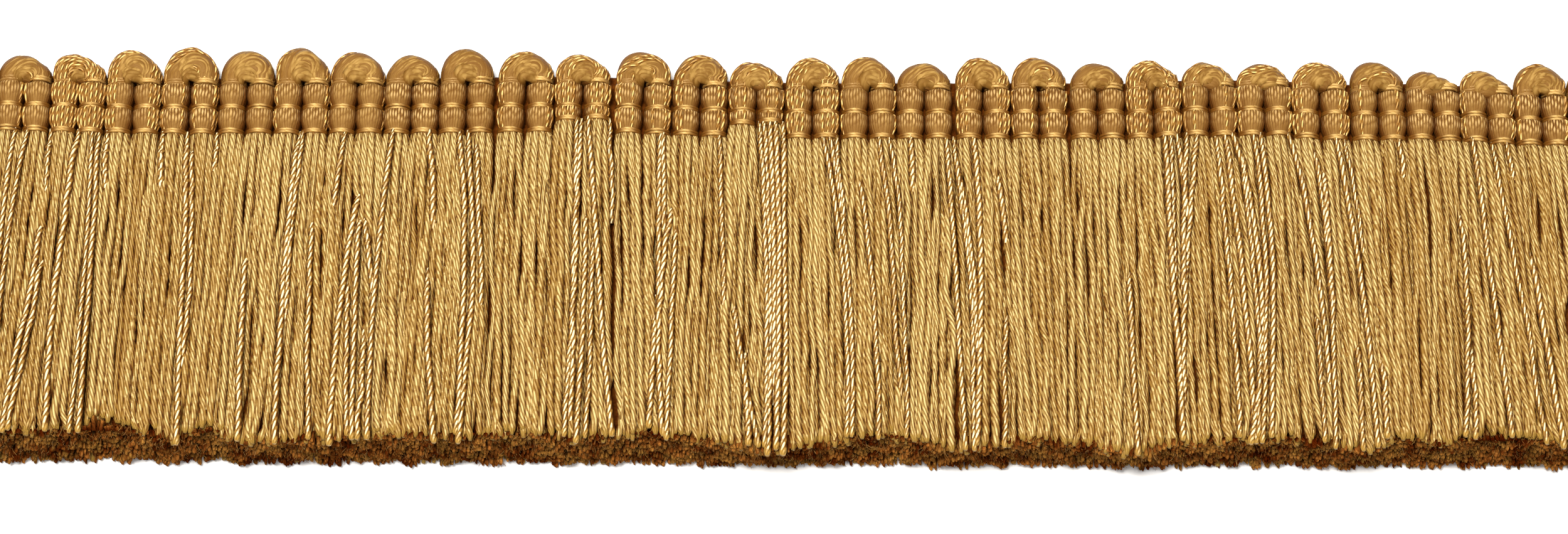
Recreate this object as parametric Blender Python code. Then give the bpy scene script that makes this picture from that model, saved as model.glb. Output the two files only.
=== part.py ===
"""A cut length of brush fringe, lying on its back with its face up.

The heading is a row of looped yarn bundles. Each bundle runs up one column of the heading, turns
over in a loop and runs down the next column. Binding threads draw every column in at three levels,
so two round beads stand between them. Below the heading the bundles open into a thick cut skirt.

Metres, +Z up. +X runs along the fringe, +Y points from the cut ends to the loops. The origin is
under the middle of the fringe, on the surface that it lies on.
"""

import math
import random
from collections import namedtuple

import bmesh
import bpy
from mathutils import Matrix, Vector

MM = 0.001

# Plan of the fringe
LOOP_COUNT = 30
LOOP_PITCH = 5.8 * MM
COLUMN_PITCH = LOOP_PITCH / 2
COLUMN_COUNT = 2 * LOOP_COUNT
FRINGE_LENGTH = LOOP_COUNT * LOOP_PITCH

# Levels of the heading, measured up from the cut ends
SKIRT_DROP = 36.0 * MM
BOTTOM_BINDING = SKIRT_DROP + 0.3 * MM
BINDING_PITCH = 2.75 * MM
MIDDLE_BINDING = BOTTOM_BINDING + BINDING_PITCH
TOP_BINDING = MIDDLE_BINDING + BINDING_PITCH

# Yarn bundle of the heading
BEAD_RADIUS = 1.42 * MM
NECK_RADIUS = 1.12 * MM
LOOP_RADIUS = 1.12 * MM
BEAD_SHOULDER = 0.27
SHORT_BEAD_FULLNESS = 0.45
ARCH_SPRING = 0.5 * MM
ARCH_POINTS = 5
BUNDLE_BEVEL_RESOLUTION = 1
BAND_THICKNESS = 1.0 * MM
BAND_INSET = 1.0 * MM
BAND_LOW = BOTTOM_BINDING + 0.7 * MM
BAND_HIGH = TOP_BINDING - 0.1 * MM
BUNDLE_CENTRE = 0.2 * MM + BEAD_RADIUS
WELD = 1e-6

# Skirt
PIECE_GAP = 0.3 * MM
STRIP_SETBACK = 0.3 * MM
STRIP_WIDTH = 1.0 * MM
STRIP_HIGH = SKIRT_DROP - PIECE_GAP - STRIP_SETBACK
STRIP_LOW = STRIP_HIGH - STRIP_WIDTH
ROOT_THICKNESS = 2.9 * MM
TIP_THICKNESS = 7.0 * MM
SWELL_POWER = 0.7
LOCKS_PER_COLUMN = 2
LOCK_GAP = 0.24 * MM
LEAN_POWER = 1.2
LENGTH_SCATTER = 0.35 * MM
SWAY = 0.1 * MM
SEED = 11

# Rise of each loop above the top binding, in millimetres, from the left end to the right end
LOOP_RISES = (
    3.3, 2.8, 3.0, 3.6, 4.1, 3.7, 4.0, 3.5, 3.1, 3.9,
    3.4, 3.0, 3.6, 3.3, 2.7, 3.3, 3.5, 2.8, 3.3, 3.4,
    2.8, 3.0, 2.5, 2.4, 2.8, 3.2, 2.3, 2.5, 3.4, 3.1,
)

# Columns whose lower bead is drawn in short: the share of its height that is left
SHORT_BEADS = {22: 0.45, 23: 0.5, 28: 0.2, 29: 0.2}

# Slow waves along the fringe, all in millimetres.
# at: place along the fringe. shift: how far the heading strays towards the loops there.
Wave = namedtuple("Wave", "at shift")
HEADING_WAVE = (
    Wave(-87, 0.1), Wave(-65, -0.2), Wave(-42, 0.0), Wave(-23, 0.3), Wave(2, -0.2),
    Wave(36, 0.0), Wave(49, 0.5), Wave(62, 0.2), Wave(87, -0.3),
)

# at: place along the fringe. shift: how far the cut ends of the face reach past the mean cut.
CUT_WAVE = (
    Wave(-87, 0.0), Wave(-72, -0.4), Wave(-69, -2.0), Wave(-62, 0.5), Wave(-58, -1.2), Wave(-54, 0.6),
    Wave(-40, 0.3), Wave(-27, -0.9), Wave(-20, 0.2), Wave(-14, -1.0), Wave(-2, 1.5), Wave(4, 0.4),
    Wave(9, -0.9), Wave(18, 1.1), Wave(25, -0.1), Wave(35, 1.3), Wave(41, 0.9), Wave(48, -0.8),
    Wave(58, 0.8), Wave(62, -1.2), Wave(67, 0.8), Wave(71, -1.7), Wave(87, 0.0),
)

# at: place along the fringe. shift: how far the hanging yarn leans to the right by its cut end.
LEAN_WAVE = (
    Wave(-87, 0.0), Wave(-78, -0.5), Wave(-66, 0.4), Wave(-55, -0.6), Wave(-43, 1.2), Wave(-38, -0.3),
    Wave(-24, 0.5), Wave(-15, 1.3), Wave(-9, -0.4), Wave(3, 0.7), Wave(14, -0.5), Wave(24, 0.8),
    Wave(34, -0.4), Wave(45, 0.5), Wave(56, 0.9), Wave(66, -0.5), Wave(76, 0.4), Wave(87, 0.0),
)

# Layers of the skirt, from the surface up. cut_share: how much of the face's uneven cut it follows.
# stations: the places along a lock where its section is set, as shares of its length.
Layer = namedtuple("Layer", "cut_share stations")
SKIRT_LAYERS = (
    Layer(0.3, (0.45, 1.0)),
    Layer(1.0, (0.3, 0.65, 1.0)),
)

# Colour, roughness and metallic value of each finish
HEADING_FINISH = ((0.42, 0.24, 0.08, 1.0), 0.55, 0.0)
SKIRT_FINISH = ((0.56, 0.36, 0.14, 1.0), 0.5, 0.0)


def clear_scene():
    """Removes every object of the startup scene."""
    for obj in list(bpy.data.objects):
        bpy.data.objects.remove(obj, do_unlink=True)


def new_collection(name):
    """A collection linked to the scene."""
    collection = bpy.data.collections.new(name)
    bpy.context.scene.collection.children.link(collection)
    return collection


def make_material(name, finish):
    """A Principled material with the finish's colour, roughness and metallic value."""
    colour, roughness, metallic = finish
    material = bpy.data.materials.new(name)
    material.use_nodes = True
    shader = material.node_tree.nodes["Principled BSDF"]
    shader.inputs["Base Color"].default_value = colour
    shader.inputs["Roughness"].default_value = roughness
    shader.inputs["Metallic"].default_value = metallic
    return material


def add_object(name, data, collection):
    """Links a new object that shows this mesh or curve."""
    obj = bpy.data.objects.new(name, data)
    collection.objects.link(obj)
    return obj


def make_helper(obj):
    """Marks an object as a helper, which the finished part leaves out."""
    obj.hide_render = True
    obj.display_type = "WIRE"
    return obj


def add_box(name, low, high, collection):
    """A box between two corners, from a unit cube."""
    size = high - low
    bm = bmesh.new()
    bmesh.ops.create_cube(bm, size=1.0)
    bmesh.ops.scale(bm, vec=size, verts=bm.verts)
    bmesh.ops.translate(bm, vec=(low + high) / 2, verts=bm.verts)
    mesh = bpy.data.meshes.new(name)
    bm.to_mesh(mesh)
    bm.free()
    return add_object(name, mesh, collection)


def join_with(obj, other):
    """Fuses a helper mesh into the object."""
    union = obj.modifiers.new("join_" + other.name, "BOOLEAN")
    union.operation = "UNION"
    union.object = other


def wave_at(wave, x):
    """The wave's shift at a place along the fringe, in metres, eased between its rows."""
    place = x / MM
    if place <= wave[0].at:
        return wave[0].shift * MM
    for before, after in zip(wave, wave[1:]):
        if place <= after.at:
            share = (place - before.at) / (after.at - before.at)
            eased = (1 - math.cos(math.pi * share)) / 2
            return (before.shift + (after.shift - before.shift) * eased) * MM
    return wave[-1].shift * MM


def column_x(column):
    """The middle of a column, counted from the left end."""
    return (column + 0.5) * COLUMN_PITCH - FRINGE_LENGTH / 2


def column_profile(column):
    """The points (x, y, radius) of one column of the heading, from its bottom to its top binding."""
    x = column_x(column)
    drift = wave_at(HEADING_WAVE, x)
    shortening = (1 - SHORT_BEADS.get(column, 1.0)) * BINDING_PITCH
    bottom = BOTTOM_BINDING + shortening
    levels = (bottom, MIDDLE_BINDING, TOP_BINDING)
    points = []
    for low, high in zip(levels, levels[1:]):
        bead = high - low
        fullness = SHORT_BEAD_FULLNESS + (1 - SHORT_BEAD_FULLNESS) * bead / BINDING_PITCH
        radius = NECK_RADIUS + (BEAD_RADIUS - NECK_RADIUS) * fullness
        points.append((x, low + drift, NECK_RADIUS))
        points.append((x, low + BEAD_SHOULDER * bead + drift, radius))
        points.append((x, high - BEAD_SHOULDER * bead + drift, radius))
    points.append((x, TOP_BINDING + drift, NECK_RADIUS))
    return points


def arch_profile(loop):
    """The points (x, y, radius) of the loop between its two columns, from left to right."""
    left, right = column_x(2 * loop), column_x(2 * loop + 1)
    centre, reach = (left + right) / 2, (right - left) / 2
    drift = wave_at(HEADING_WAVE, centre)
    spring = TOP_BINDING + ARCH_SPRING + drift
    height = LOOP_RISES[loop] * MM - LOOP_RADIUS - ARCH_SPRING
    points = []
    for step in range(ARCH_POINTS):
        angle = math.pi * (1 - step / (ARCH_POINTS - 1))
        point = (centre + reach * math.cos(angle), spring + height * math.sin(angle), LOOP_RADIUS)
        points.append(point)
    return points


def add_bundles(collection):
    """All the yarn bundles of the heading as one helper mesh, a bevelled spline for each loop."""
    curve = bpy.data.curves.new("yarn_bundles", "CURVE")
    curve.dimensions = "3D"
    curve.twist_mode = "Z_UP"
    curve.bevel_depth = 1.0
    curve.bevel_resolution = BUNDLE_BEVEL_RESOLUTION
    curve.use_fill_caps = True
    for loop in range(LOOP_COUNT):
        rising = column_profile(2 * loop)
        falling = column_profile(2 * loop + 1)[::-1]
        points = rising + arch_profile(loop) + falling
        spline = curve.splines.new("POLY")
        spline.points.add(len(points) - 1)
        for target, (x, y, radius) in zip(spline.points, points):
            target.co = (x, y, BUNDLE_CENTRE, 1.0)
            target.radius = radius
    drawn = add_object("yarn_bundle_lines", curve, collection)
    bpy.context.view_layer.update()
    graph = bpy.context.evaluated_depsgraph_get()
    mesh = bpy.data.meshes.new_from_object(drawn.evaluated_get(graph))
    bundles = add_object("yarn_bundles", mesh, collection)
    bundles.matrix_world = drawn.matrix_world
    bpy.data.objects.remove(drawn, do_unlink=True)
    bm = bmesh.new()
    bm.from_mesh(mesh)
    bmesh.ops.remove_doubles(bm, verts=bm.verts, dist=WELD)
    bmesh.ops.recalc_face_normals(bm, faces=bm.faces)
    bm.to_mesh(mesh)
    bm.free()
    return make_helper(bundles)


def build_heading(collection, helpers):
    """The heading: a flat woven back that holds the looped bundles side by side."""
    half = FRINGE_LENGTH / 2 - BAND_INSET
    low = Vector((-half, BAND_LOW, 0.0))
    high = Vector((half, BAND_HIGH, BAND_THICKNESS))
    heading = add_box("heading", low, high, collection)
    join_with(heading, add_bundles(helpers))
    heading.data.materials.append(make_material("heading_yarn", HEADING_FINISH))
    return heading


def skirt_thickness(share):
    """How thick the skirt is at a share of the way from its root to its cut."""
    return ROOT_THICKNESS + (TIP_THICKNESS - ROOT_THICKNESS) * share**SWELL_POWER


def lean_at(x, share):
    """How far the yarn that starts at x leans to the right, at a share of the way down."""
    return wave_at(LEAN_WAVE, x) * share**LEAN_POWER


def root_lattice(bm):
    """The strip's lower side, a lattice with one cell for each lock, facing the cut ends."""
    columns = COLUMN_COUNT * LOCKS_PER_COLUMN
    bmesh.ops.create_grid(bm, x_segments=columns, y_segments=len(SKIRT_LAYERS), size=0.5)
    bmesh.ops.scale(bm, vec=(FRINGE_LENGTH, ROOT_THICKNESS, 1.0), verts=bm.verts)
    bmesh.ops.rotate(bm, matrix=Matrix.Rotation(math.pi / 2, 3, "X"), verts=bm.verts)
    bmesh.ops.translate(bm, vec=(0.0, STRIP_LOW, ROOT_THICKNESS / 2), verts=bm.verts)
    return bm.faces[:]


def close_strip(bm):
    """Gives the lattice its strip: its rim runs up to the strip's upper side, which closes it."""
    rim = [edge for edge in bm.edges if edge.is_boundary]
    extruded = bmesh.ops.extrude_edge_only(bm, edges=rim)["geom"]
    upper = [item for item in extruded if isinstance(item, bmesh.types.BMVert)]
    bmesh.ops.translate(bm, vec=(0.0, STRIP_WIDTH, 0.0), verts=upper)
    bmesh.ops.contextual_create(bm, geom=[edge for edge in bm.edges if edge.is_boundary])


def hang(corner, place, share, drop, sway):
    """Where a corner of a lock's root has come to, at a share of the way down to its cut.

    place is the root's own position and drop the lock's length. The lowest layer lies on the floor.
    """
    swell = skirt_thickness(share) / ROOT_THICKNESS
    on_floor = place.z < LOCK_GAP
    corner.x = place.x + lean_at(place.x, share) + sway
    corner.y = place.y - share * drop
    corner.z = 0.0 if on_floor else place.z * swell


def draw_lock(bm, cell, rng):
    """Draws one lock out of its cell, station by station, down to its cut."""
    middle = cell.calc_center_median()
    layer = SKIRT_LAYERS[int(middle.z / ROOT_THICKNESS * len(SKIRT_LAYERS))]
    scatter = rng.uniform(-1, 1) * LENGTH_SCATTER
    drop = STRIP_LOW + wave_at(CUT_WAVE, middle.x) * layer.cut_share + scatter
    roots = [corner.co.copy() for corner in cell.verts]
    for share in layer.stations:
        cell = bmesh.ops.extrude_discrete_faces(bm, faces=[cell])["faces"][0]
        sway = rng.uniform(-1, 1) * SWAY
        for corner, place in zip(cell.verts, roots):
            hang(corner.co, place, share, drop, sway)


def build_skirt(collection):
    """The skirt: cut locks in layers, fused at their roots into a narrow strip under the heading."""
    rng = random.Random(SEED)
    bm = bmesh.new()
    cells = root_lattice(bm)
    close_strip(bm)
    bmesh.ops.inset_individual(bm, faces=cells, thickness=LOCK_GAP / 2)
    for cell in cells:
        draw_lock(bm, cell, rng)
    bmesh.ops.recalc_face_normals(bm, faces=bm.faces)
    mesh = bpy.data.meshes.new("skirt")
    bm.to_mesh(mesh)
    bm.free()
    skirt = add_object("skirt", mesh, collection)
    skirt.data.materials.append(make_material("skirt_yarn", SKIRT_FINISH))
    return skirt


def centre_on_origin(parts, helpers):
    """Moves the whole fringe, with the meshes fused into it, so that its box is centred over the origin."""
    bpy.context.view_layer.update()
    graph = bpy.context.evaluated_depsgraph_get()
    corners = []
    for part in parts:
        evaluated = part.evaluated_get(graph)
        corners += [evaluated.matrix_world @ Vector(corner) for corner in evaluated.bound_box]
    for axis in (0, 1):
        values = [corner[axis] for corner in corners]
        middle = (min(values) + max(values)) / 2
        for obj in [*parts, *helpers]:
            obj.location[axis] -= middle


def main():
    """Builds the fringe."""
    clear_scene()
    fringe = new_collection("brush_fringe")
    helpers = new_collection("helpers")
    heading = build_heading(fringe, helpers)
    skirt = build_skirt(fringe)
    centre_on_origin([heading, skirt], helpers.objects)


main()
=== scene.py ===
"""Looks of a cut length of gold brush fringe, lying face up on a pale floor.

The heading is a row of looped bundles of yarn, drawn in by three binding threads. Below it the same
yarns hang as a thick cut skirt. Every yarn is a plain tube, and its plies are marks and fine relief
in its finish, which turn along it: painted highlights on the plies and painted shade between them.
Lustrous strands lie between the matte yarns, placed one by one.
All lengths are in metres unless a table says millimetres.
"""

from __future__ import annotations

import logging
import math
from dataclasses import dataclass, field
from enum import Enum
from typing import Optional, Sequence

import bpy
import numpy as np
from mathutils import Matrix, Vector

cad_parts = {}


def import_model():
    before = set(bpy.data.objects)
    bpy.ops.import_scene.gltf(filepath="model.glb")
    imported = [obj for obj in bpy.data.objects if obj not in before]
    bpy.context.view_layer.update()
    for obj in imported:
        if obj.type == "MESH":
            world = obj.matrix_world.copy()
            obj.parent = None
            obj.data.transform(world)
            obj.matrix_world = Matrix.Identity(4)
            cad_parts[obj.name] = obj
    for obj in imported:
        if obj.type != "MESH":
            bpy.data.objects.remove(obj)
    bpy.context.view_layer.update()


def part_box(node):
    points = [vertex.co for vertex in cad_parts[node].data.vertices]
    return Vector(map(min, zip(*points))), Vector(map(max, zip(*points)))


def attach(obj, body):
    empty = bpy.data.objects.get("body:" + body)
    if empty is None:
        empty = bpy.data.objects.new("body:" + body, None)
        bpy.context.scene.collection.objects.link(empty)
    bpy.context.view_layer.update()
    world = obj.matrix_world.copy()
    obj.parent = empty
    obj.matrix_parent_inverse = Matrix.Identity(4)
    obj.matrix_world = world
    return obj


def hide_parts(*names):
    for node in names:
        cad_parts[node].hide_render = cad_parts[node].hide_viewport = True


MM = 0.001
LOG = logging.getLogger("brush_fringe")
Colour = tuple[float, float, float]
Array = np.ndarray


# Tables measured along the fringe, in millimetres from its middle. A wave's rows each say where
# they are and how far the wave strays there.


@dataclass(frozen=True)
class Slit:
    """A gap between two clumps of the face.

    at is its place halfway along the gap, lean how far its foot lies to the right of its top, opens
    and closes the shares of the skirt's length where it starts and ends, and width its full width.
    """

    at: float
    lean: float
    opens: float
    closes: float
    width: float


@dataclass(frozen=True)
class Strand:
    """A lustrous strand on the face.

    root, mid and cut are its places at the heading, halfway down and at the cut. It shows from
    surfaces to sinks, as shares of the skirt's length. shine runs from 0, amber, to 1, bright.
    """

    root: float
    mid: float
    cut: float
    surfaces: float
    sinks: float
    shine: float


@dataclass(frozen=True)
class Loop:
    """A loop of the heading.

    rise is its height over the top binding, lean how far its top leans to the right, and roll how
    far its bundle turns over at the top in degrees. bright has the places of its lustrous cords
    round the bundle, in degrees from its crown, positive towards the outside of the loop.
    """

    rise: float
    lean: float
    roll: float
    bright: tuple[int, ...] = ()


HEADING_WAVE = np.array([
    (-87, 0.1), (-65, -0.2), (-42, 0.0), (-23, 0.3), (2, -0.2), (36, 0.0), (43, 0.4), (51, 0.5), (56, 0.1),
    (62, 0.0), (66, 0.2), (71, 0.0), (78, -0.4), (87, -0.4),
]) * MM

COLUMN_WAVE = np.array([
    (-87, -0.6), (-80, -1.4), (-66, -1.5), (-54, -1.25), (-31, -1.45), (-25, -0.98), (-20, -0.9), (-14, -0.3),
    (-3, -0.1), (9, 0.0), (15, 0.05), (20, 0.4), (26, 0.45), (32, 0.8), (43, 0.9), (54, 0.8), (60, 1.15),
    (66, 1.15), (77, 0.85), (87, 0.5),
]) * MM

CUT_WAVE = np.array([
    (-87, 0.0), (-72, -0.4), (-69, -1.8), (-65, -0.6), (-61, 0.4), (-58, -1.1), (-54, 0.6), (-47, 0.3),
    (-41, -0.4), (-36, -0.1), (-31, -0.1), (-27, -0.6), (-20, 0.1), (-14, -0.9), (-8, 0.1), (-2, 1.1),
    (4, 0.4), (9, -0.8), (18, 0.8), (25, -0.1), (30, 0.2), (35, 1.3), (41, 0.0), (48, -0.6), (52, -0.3),
    (58, 0.9), (62, -0.8), (67, -0.2), (71, -1.4), (75, -0.6), (80, -0.1), (87, 0.0),
]) * MM

LEAN_WAVE = np.array([
    (-87, 0.0), (-78, -0.5), (-66, 0.4), (-55, -0.6), (-43, 1.2), (-38, -0.3), (-24, 0.5), (-15, 1.3),
    (-9, -0.4), (3, 0.7), (14, -0.5), (24, 0.8), (34, -0.4), (45, 0.5), (56, 0.9), (66, -0.5), (76, 0.4),
    (87, 0.0),
]) * MM

SLITS = tuple(Slit(*row) for row in (
    (-81.1, 0.3, 0.55, 0.95, 0.35), (-76.7, -0.3, 0.52, 0.78, 0.3), (-70.6, 0.1, 0.5, 1.1, 0.55),
    (-63.6, 0.2, 0.8, 1.1, 0.25), (-54.1, 0.1, 0.5, 1.0, 0.7), (-47.2, 0.1, 0.28, 0.65, 0.35),
    (-47.4, 0.2, 0.7, 0.95, 0.4), (-42.7, 0.1, 0.45, 0.85, 0.5), (-35.8, 1.2, 0.4, 1.1, 0.5),
    (-32.4, -0.3, 0.32, 0.56, 0.35), (-33.0, 0.0, 0.55, 1.1, 0.6), (-31.0, 0.1, 0.82, 1.1, 0.3),
    (-24.1, 0.1, 0.38, 0.62, 0.3), (-22.1, 0.1, 0.25, 0.65, 0.3), (-18.8, 0.3, 0.36, 0.72, 0.45),
    (-13.0, 0.0, 0.32, 0.62, 0.35), (-20.2, 0.1, 0.7, 1.1, 0.4), (-4.1, 2.0, 0.4, 1.05, 0.65),
    (-2.9, 0.1, 0.28, 0.55, 0.3), (9.9, 0.3, 0.18, 0.38, 0.35), (11.5, 0.6, 0.38, 0.72, 0.35),
    (13.1, 0.1, 0.42, 0.68, 0.3), (17.1, 0.1, 0.38, 0.62, 0.3), (22.4, 0.1, 0.32, 0.5, 0.35),
    (21.8, 0.0, 0.7, 1.0, 0.3), (35.6, 0.1, 0.42, 0.62, 0.5), (39.7, 0.1, 0.48, 1.1, 0.4),
    (45.2, 0.3, 0.25, 1.0, 0.4), (48.2, 0.1, 0.15, 0.4, 0.35), (55.7, 0.0, 0.55, 0.7, 0.3),
    (62.1, -0.1, 0.28, 0.58, 0.3), (68.7, -0.1, 0.42, 1.0, 0.5), (79.9, -0.2, 0.5, 0.8, 0.3),
))

STRANDS = tuple(Strand(*row) for row in (
    (-80.3, -80.4, -80.0, 0.0, 1.0, 0.9), (-81.0, -81.2, -80.7, 0.5, 1.0, 0.3),
    (-78.9, -79.8, -79.4, 0.0, 1.0, 0.8), (-76.6, -76.0, -76.0, 0.0, 0.2, 0.8),
    (-75.6, -76.8, -78.5, 0.32, 1.0, 0.9), (-75.4, -76.1, -77.9, 0.44, 1.0, 0.9),
    (-73.6, -74.3, -74.1, 0.0, 1.0, 1.0), (-72.2, -71.5, -71.7, 0.0, 1.0, 0.9),
    (-71.5, -70.9, -70.8, 0.0, 1.0, 0.9), (-70.7, -69.8, -69.8, 0.0, 0.2, 1.0),
    (-64.9, -64.1, -64.1, 0.0, 0.17, 0.7), (-62.3, -61.4, -60.9, 0.0, 1.0, 1.0),
    (-61.9, -60.7, -61.3, 0.05, 0.75, 0.8), (-59.2, -58.8, -58.8, 0.0, 0.13, 0.9),
    (-55.6, -55.2, -54.7, 0.42, 1.0, 1.0), (-50.6, -51.1, -51.0, 0.0, 1.0, 0.9),
    (-50.2, -50.7, -50.4, 0.0, 0.6, 0.8), (-48.6, -48.5, -47.6, 0.3, 1.0, 0.8),
    (-45.8, -46.8, -46.8, 0.0, 0.24, 0.6), (-42.9, -45.0, -45.5, 0.2, 1.0, 0.9),
    (-43.6, -43.7, -43.2, 0.3, 1.0, 0.9), (-45.2, -42.2, -41.0, 0.3, 0.56, 1.0),
    (-45.0, -44.6, -43.8, 0.5, 1.0, 0.7), (-42.0, -42.4, -42.7, 0.68, 1.0, 0.9),
    (-40.8, -41.7, -41.7, 0.0, 1.0, 0.9), (-37.1, -35.7, -35.7, 0.0, 0.3, 0.8),
    (-36.8, -36.5, -35.0, 0.48, 1.0, 0.4), (-33.9, -32.7, -32.9, 0.0, 1.0, 0.9),
    (-33.0, -31.9, -32.6, 0.0, 1.0, 1.0), (-32.4, -31.0, -31.0, 0.03, 0.56, 0.8),
    (-21.8, -21.5, -22.0, 0.0, 1.0, 1.0), (-21.3, -21.4, -21.3, 0.0, 0.9, 0.9),
    (-20.5, -19.0, -17.2, 0.0, 1.0, 1.0), (-20.9, -20.4, -20.8, 0.3, 1.0, 0.9),
    (-20.0, -19.6, -19.8, 0.38, 1.0, 0.6), (-18.4, -17.5, -17.5, 0.0, 0.28, 0.8),
    (-13.0, -12.8, -12.3, 0.0, 0.6, 0.9), (-12.7, -12.3, -12.3, 0.0, 0.3, 0.8),
    (-9.9, -12.5, -12.0, 0.25, 1.0, 0.9), (-10.8, -11.3, -11.7, 0.33, 1.0, 1.0),
    (-13.0, -13.0, -13.5, 0.62, 1.0, 0.7), (-6.9, -6.2, -6.0, 0.0, 0.55, 0.4),
    (-6.5, -5.4, -2.4, 0.56, 1.0, 0.9), (-4.6, -4.3, -3.4, 0.78, 1.0, 0.7), (-2.7, -1.8, -1.8, 0.0, 1.0, 0.9),
    (-2.2, -1.4, -1.5, 0.0, 1.0, 0.8), (-1.6, -1.0, -1.0, 0.0, 0.8, 0.9), (-1.0, -0.5, -0.7, 0.0, 1.0, 0.7),
    (-0.3, 0.1, 0.1, 0.0, 1.0, 1.0), (3.9, 6.1, 6.4, 0.0, 1.0, 0.9), (4.6, 6.6, 6.9, 0.0, 1.0, 0.9),
    (5.3, 6.3, 6.3, 0.0, 0.34, 0.9), (6.9, 9.0, 9.6, 0.15, 1.0, 0.6), (9.9, 11.2, 12.0, 0.0, 0.82, 0.2),
    (10.9, 12.2, 12.3, 0.0, 1.0, 0.7), (13.1, 13.4, 13.4, 0.0, 0.16, 0.9), (16.8, 17.6, 18.3, 0.0, 1.0, 0.9),
    (17.5, 19.0, 19.2, 0.0, 1.0, 1.0), (17.4, 19.4, 19.5, 0.12, 0.7, 0.8), (19.7, 20.1, 19.4, 0.0, 1.0, 0.9),
    (21.4, 23.1, 23.1, 0.13, 0.33, 0.5), (22.7, 22.6, 22.2, 0.58, 1.0, 0.4),
    (35.4, 35.3, 35.6, 0.46, 1.0, 0.6), (39.5, 39.8, 40.2, 0.0, 1.0, 0.6), (40.2, 40.0, 40.0, 0.0, 0.5, 0.8),
    (40.8, 41.8, 41.8, 0.0, 0.28, 0.9), (43.0, 41.0, 40.3, 0.0, 0.85, 0.9), (41.9, 40.8, 40.8, 0.0, 0.5, 0.7),
    (44.9, 45.6, 46.0, 0.0, 1.0, 0.7), (45.8, 46.9, 47.5, 0.0, 1.0, 0.9), (46.6, 48.7, 47.0, 0.0, 1.0, 0.9),
    (47.1, 48.1, 47.8, 0.05, 1.0, 0.6), (48.9, 49.2, 48.1, 0.0, 1.0, 0.6), (49.6, 49.9, 49.0, 0.0, 1.0, 0.9),
    (52.5, 54.7, 55.0, 0.0, 0.8, 0.9), (55.0, 55.8, 55.4, 0.05, 1.0, 0.9),
    (55.8, 55.9, 55.9, 0.12, 0.55, 0.7), (54.0, 54.2, 54.4, 0.6, 1.0, 0.3), (57.3, 59.0, 59.7, 0.0, 1.0, 0.8),
    (58.2, 59.6, 59.6, 0.0, 0.36, 0.7), (58.4, 58.3, 58.2, 0.66, 1.0, 0.3),
    (60.6, 60.6, 60.7, 0.74, 1.0, 0.8), (64.0, 64.2, 64.2, 0.0, 0.12, 0.6),
    (69.2, 69.7, 68.5, 0.28, 1.0, 1.0), (69.8, 69.9, 69.6, 0.72, 1.0, 0.9), (71.6, 72.3, 73.2, 0.0, 1.0, 0.8),
    (73.6, 75.1, 76.7, 0.0, 1.0, 0.8), (75.1, 76.0, 76.0, 0.0, 0.12, 0.8), (75.4, 76.9, 78.3, 0.38, 1.0, 0.8),
))

LOOPS = tuple(Loop(*row) for row in (
    (3.3, 0.0, 20), (2.8, -0.1, 15, (-62,)), (3.0, -0.5, 40, (-66, -44, -22, 0, 22, 44, 66)),
    (3.6, -0.3, 45, (84, 62, 40, 18)), (4.1, -0.1, -20, (82, 58, -40)), (3.7, 0.1, 15),
    (4.0, -0.3, 40, (80, 58)), (3.5, 0.1, 20, (84,)), (3.1, 0.3, 25), (3.9, -0.1, -25),
    (3.4, 0.1, 30, (66, 40)), (3.0, -0.3, 55, (72, 48, 24, 0, -24)), (3.6, 0.0, -30, (64, 40, -20)),
    (3.3, 0.2, 35, (44, 20)), (2.7, -0.2, 35, (70, 30, -10)), (3.3, 0.1, 50, (54, 30, 6, -18)),
    (3.5, 0.0, 20, (70,)), (2.8, 0.1, 25), (3.3, -0.1, 45, (60, 36, 12)), (3.4, 0.0, 25, (70, -30)),
    (2.8, 0.2, 15), (3.0, -0.3, 45, (72, 48, 24, 0, -30)), (2.5, -0.1, 40, (60, 10)),
    (2.4, 0.0, -30, (82, 60)), (2.8, 0.1, 35, (70, 46, 22)), (3.2, -0.3, -40, (20,)), (1.9, -0.4, 30),
    (2.2, -0.3, 40, (76, 52)), (3.4, 0.0, 30, (50,)), (3.1, 0.0, 20),
))

# Columns whose lower bead is drawn in short: the share of its height that is left
SHORT_BEADS = {22: 0.5, 23: 0.45, 28: 0.5, 29: 0.4}


# Rules of shape that the pieces share


def rows_of(table: Sequence[object], name: str) -> Array:
    """One field of a table's rows, standing upright as (rows, 1)."""
    return np.array([getattr(row, name) for row in table])[:, None]


def eased(wave: Array, x: Array) -> Array:
    """The wave's shift at each place.

    Between two rows the shift runs from one to the next on half a cosine, which is level at both.

    Args:
        wave: The wave's rows, from left to right, (rows, 2).
        x: Places along the fringe.

    Returns:
        The shift at each place, of the shape of x.
    """
    at, shift = wave.T
    row = np.clip(np.searchsorted(at, x, side="right") - 1, 0, len(at) - 2)
    share = np.clip((x - at[row]) / (at[row + 1] - at[row]), 0.0, 1.0)
    return shift[row] + (shift[row + 1] - shift[row]) * (1.0 - np.cos(np.pi * share)) / 2.0


def smooth(value: Array, low: float, high: float) -> Array:
    """A step from 0 at low to 1 at high, level at both ends: 3 t squared less 2 t cubed."""
    t = np.clip((value - low) / (high - low), 0.0, 1.0)
    return t * t * (3.0 - 2.0 * t)


def hump(value: Array, low: float, high: float, edge: float) -> Array:
    """A hump that steps up to 1 within edge of low, and down to 0 again within edge of high."""
    return smooth(value, low, low + edge) * (1.0 - smooth(value, high - edge, high))


def bow(root: Array, mid: Array, cut: Array, share: Array) -> Array:
    """A parabola through root, mid and cut where the share is 0, a half and 1."""
    bend = 2 * (root + cut - 2 * mid)
    return root + (cut - root - bend) * share + bend * share**2


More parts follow.
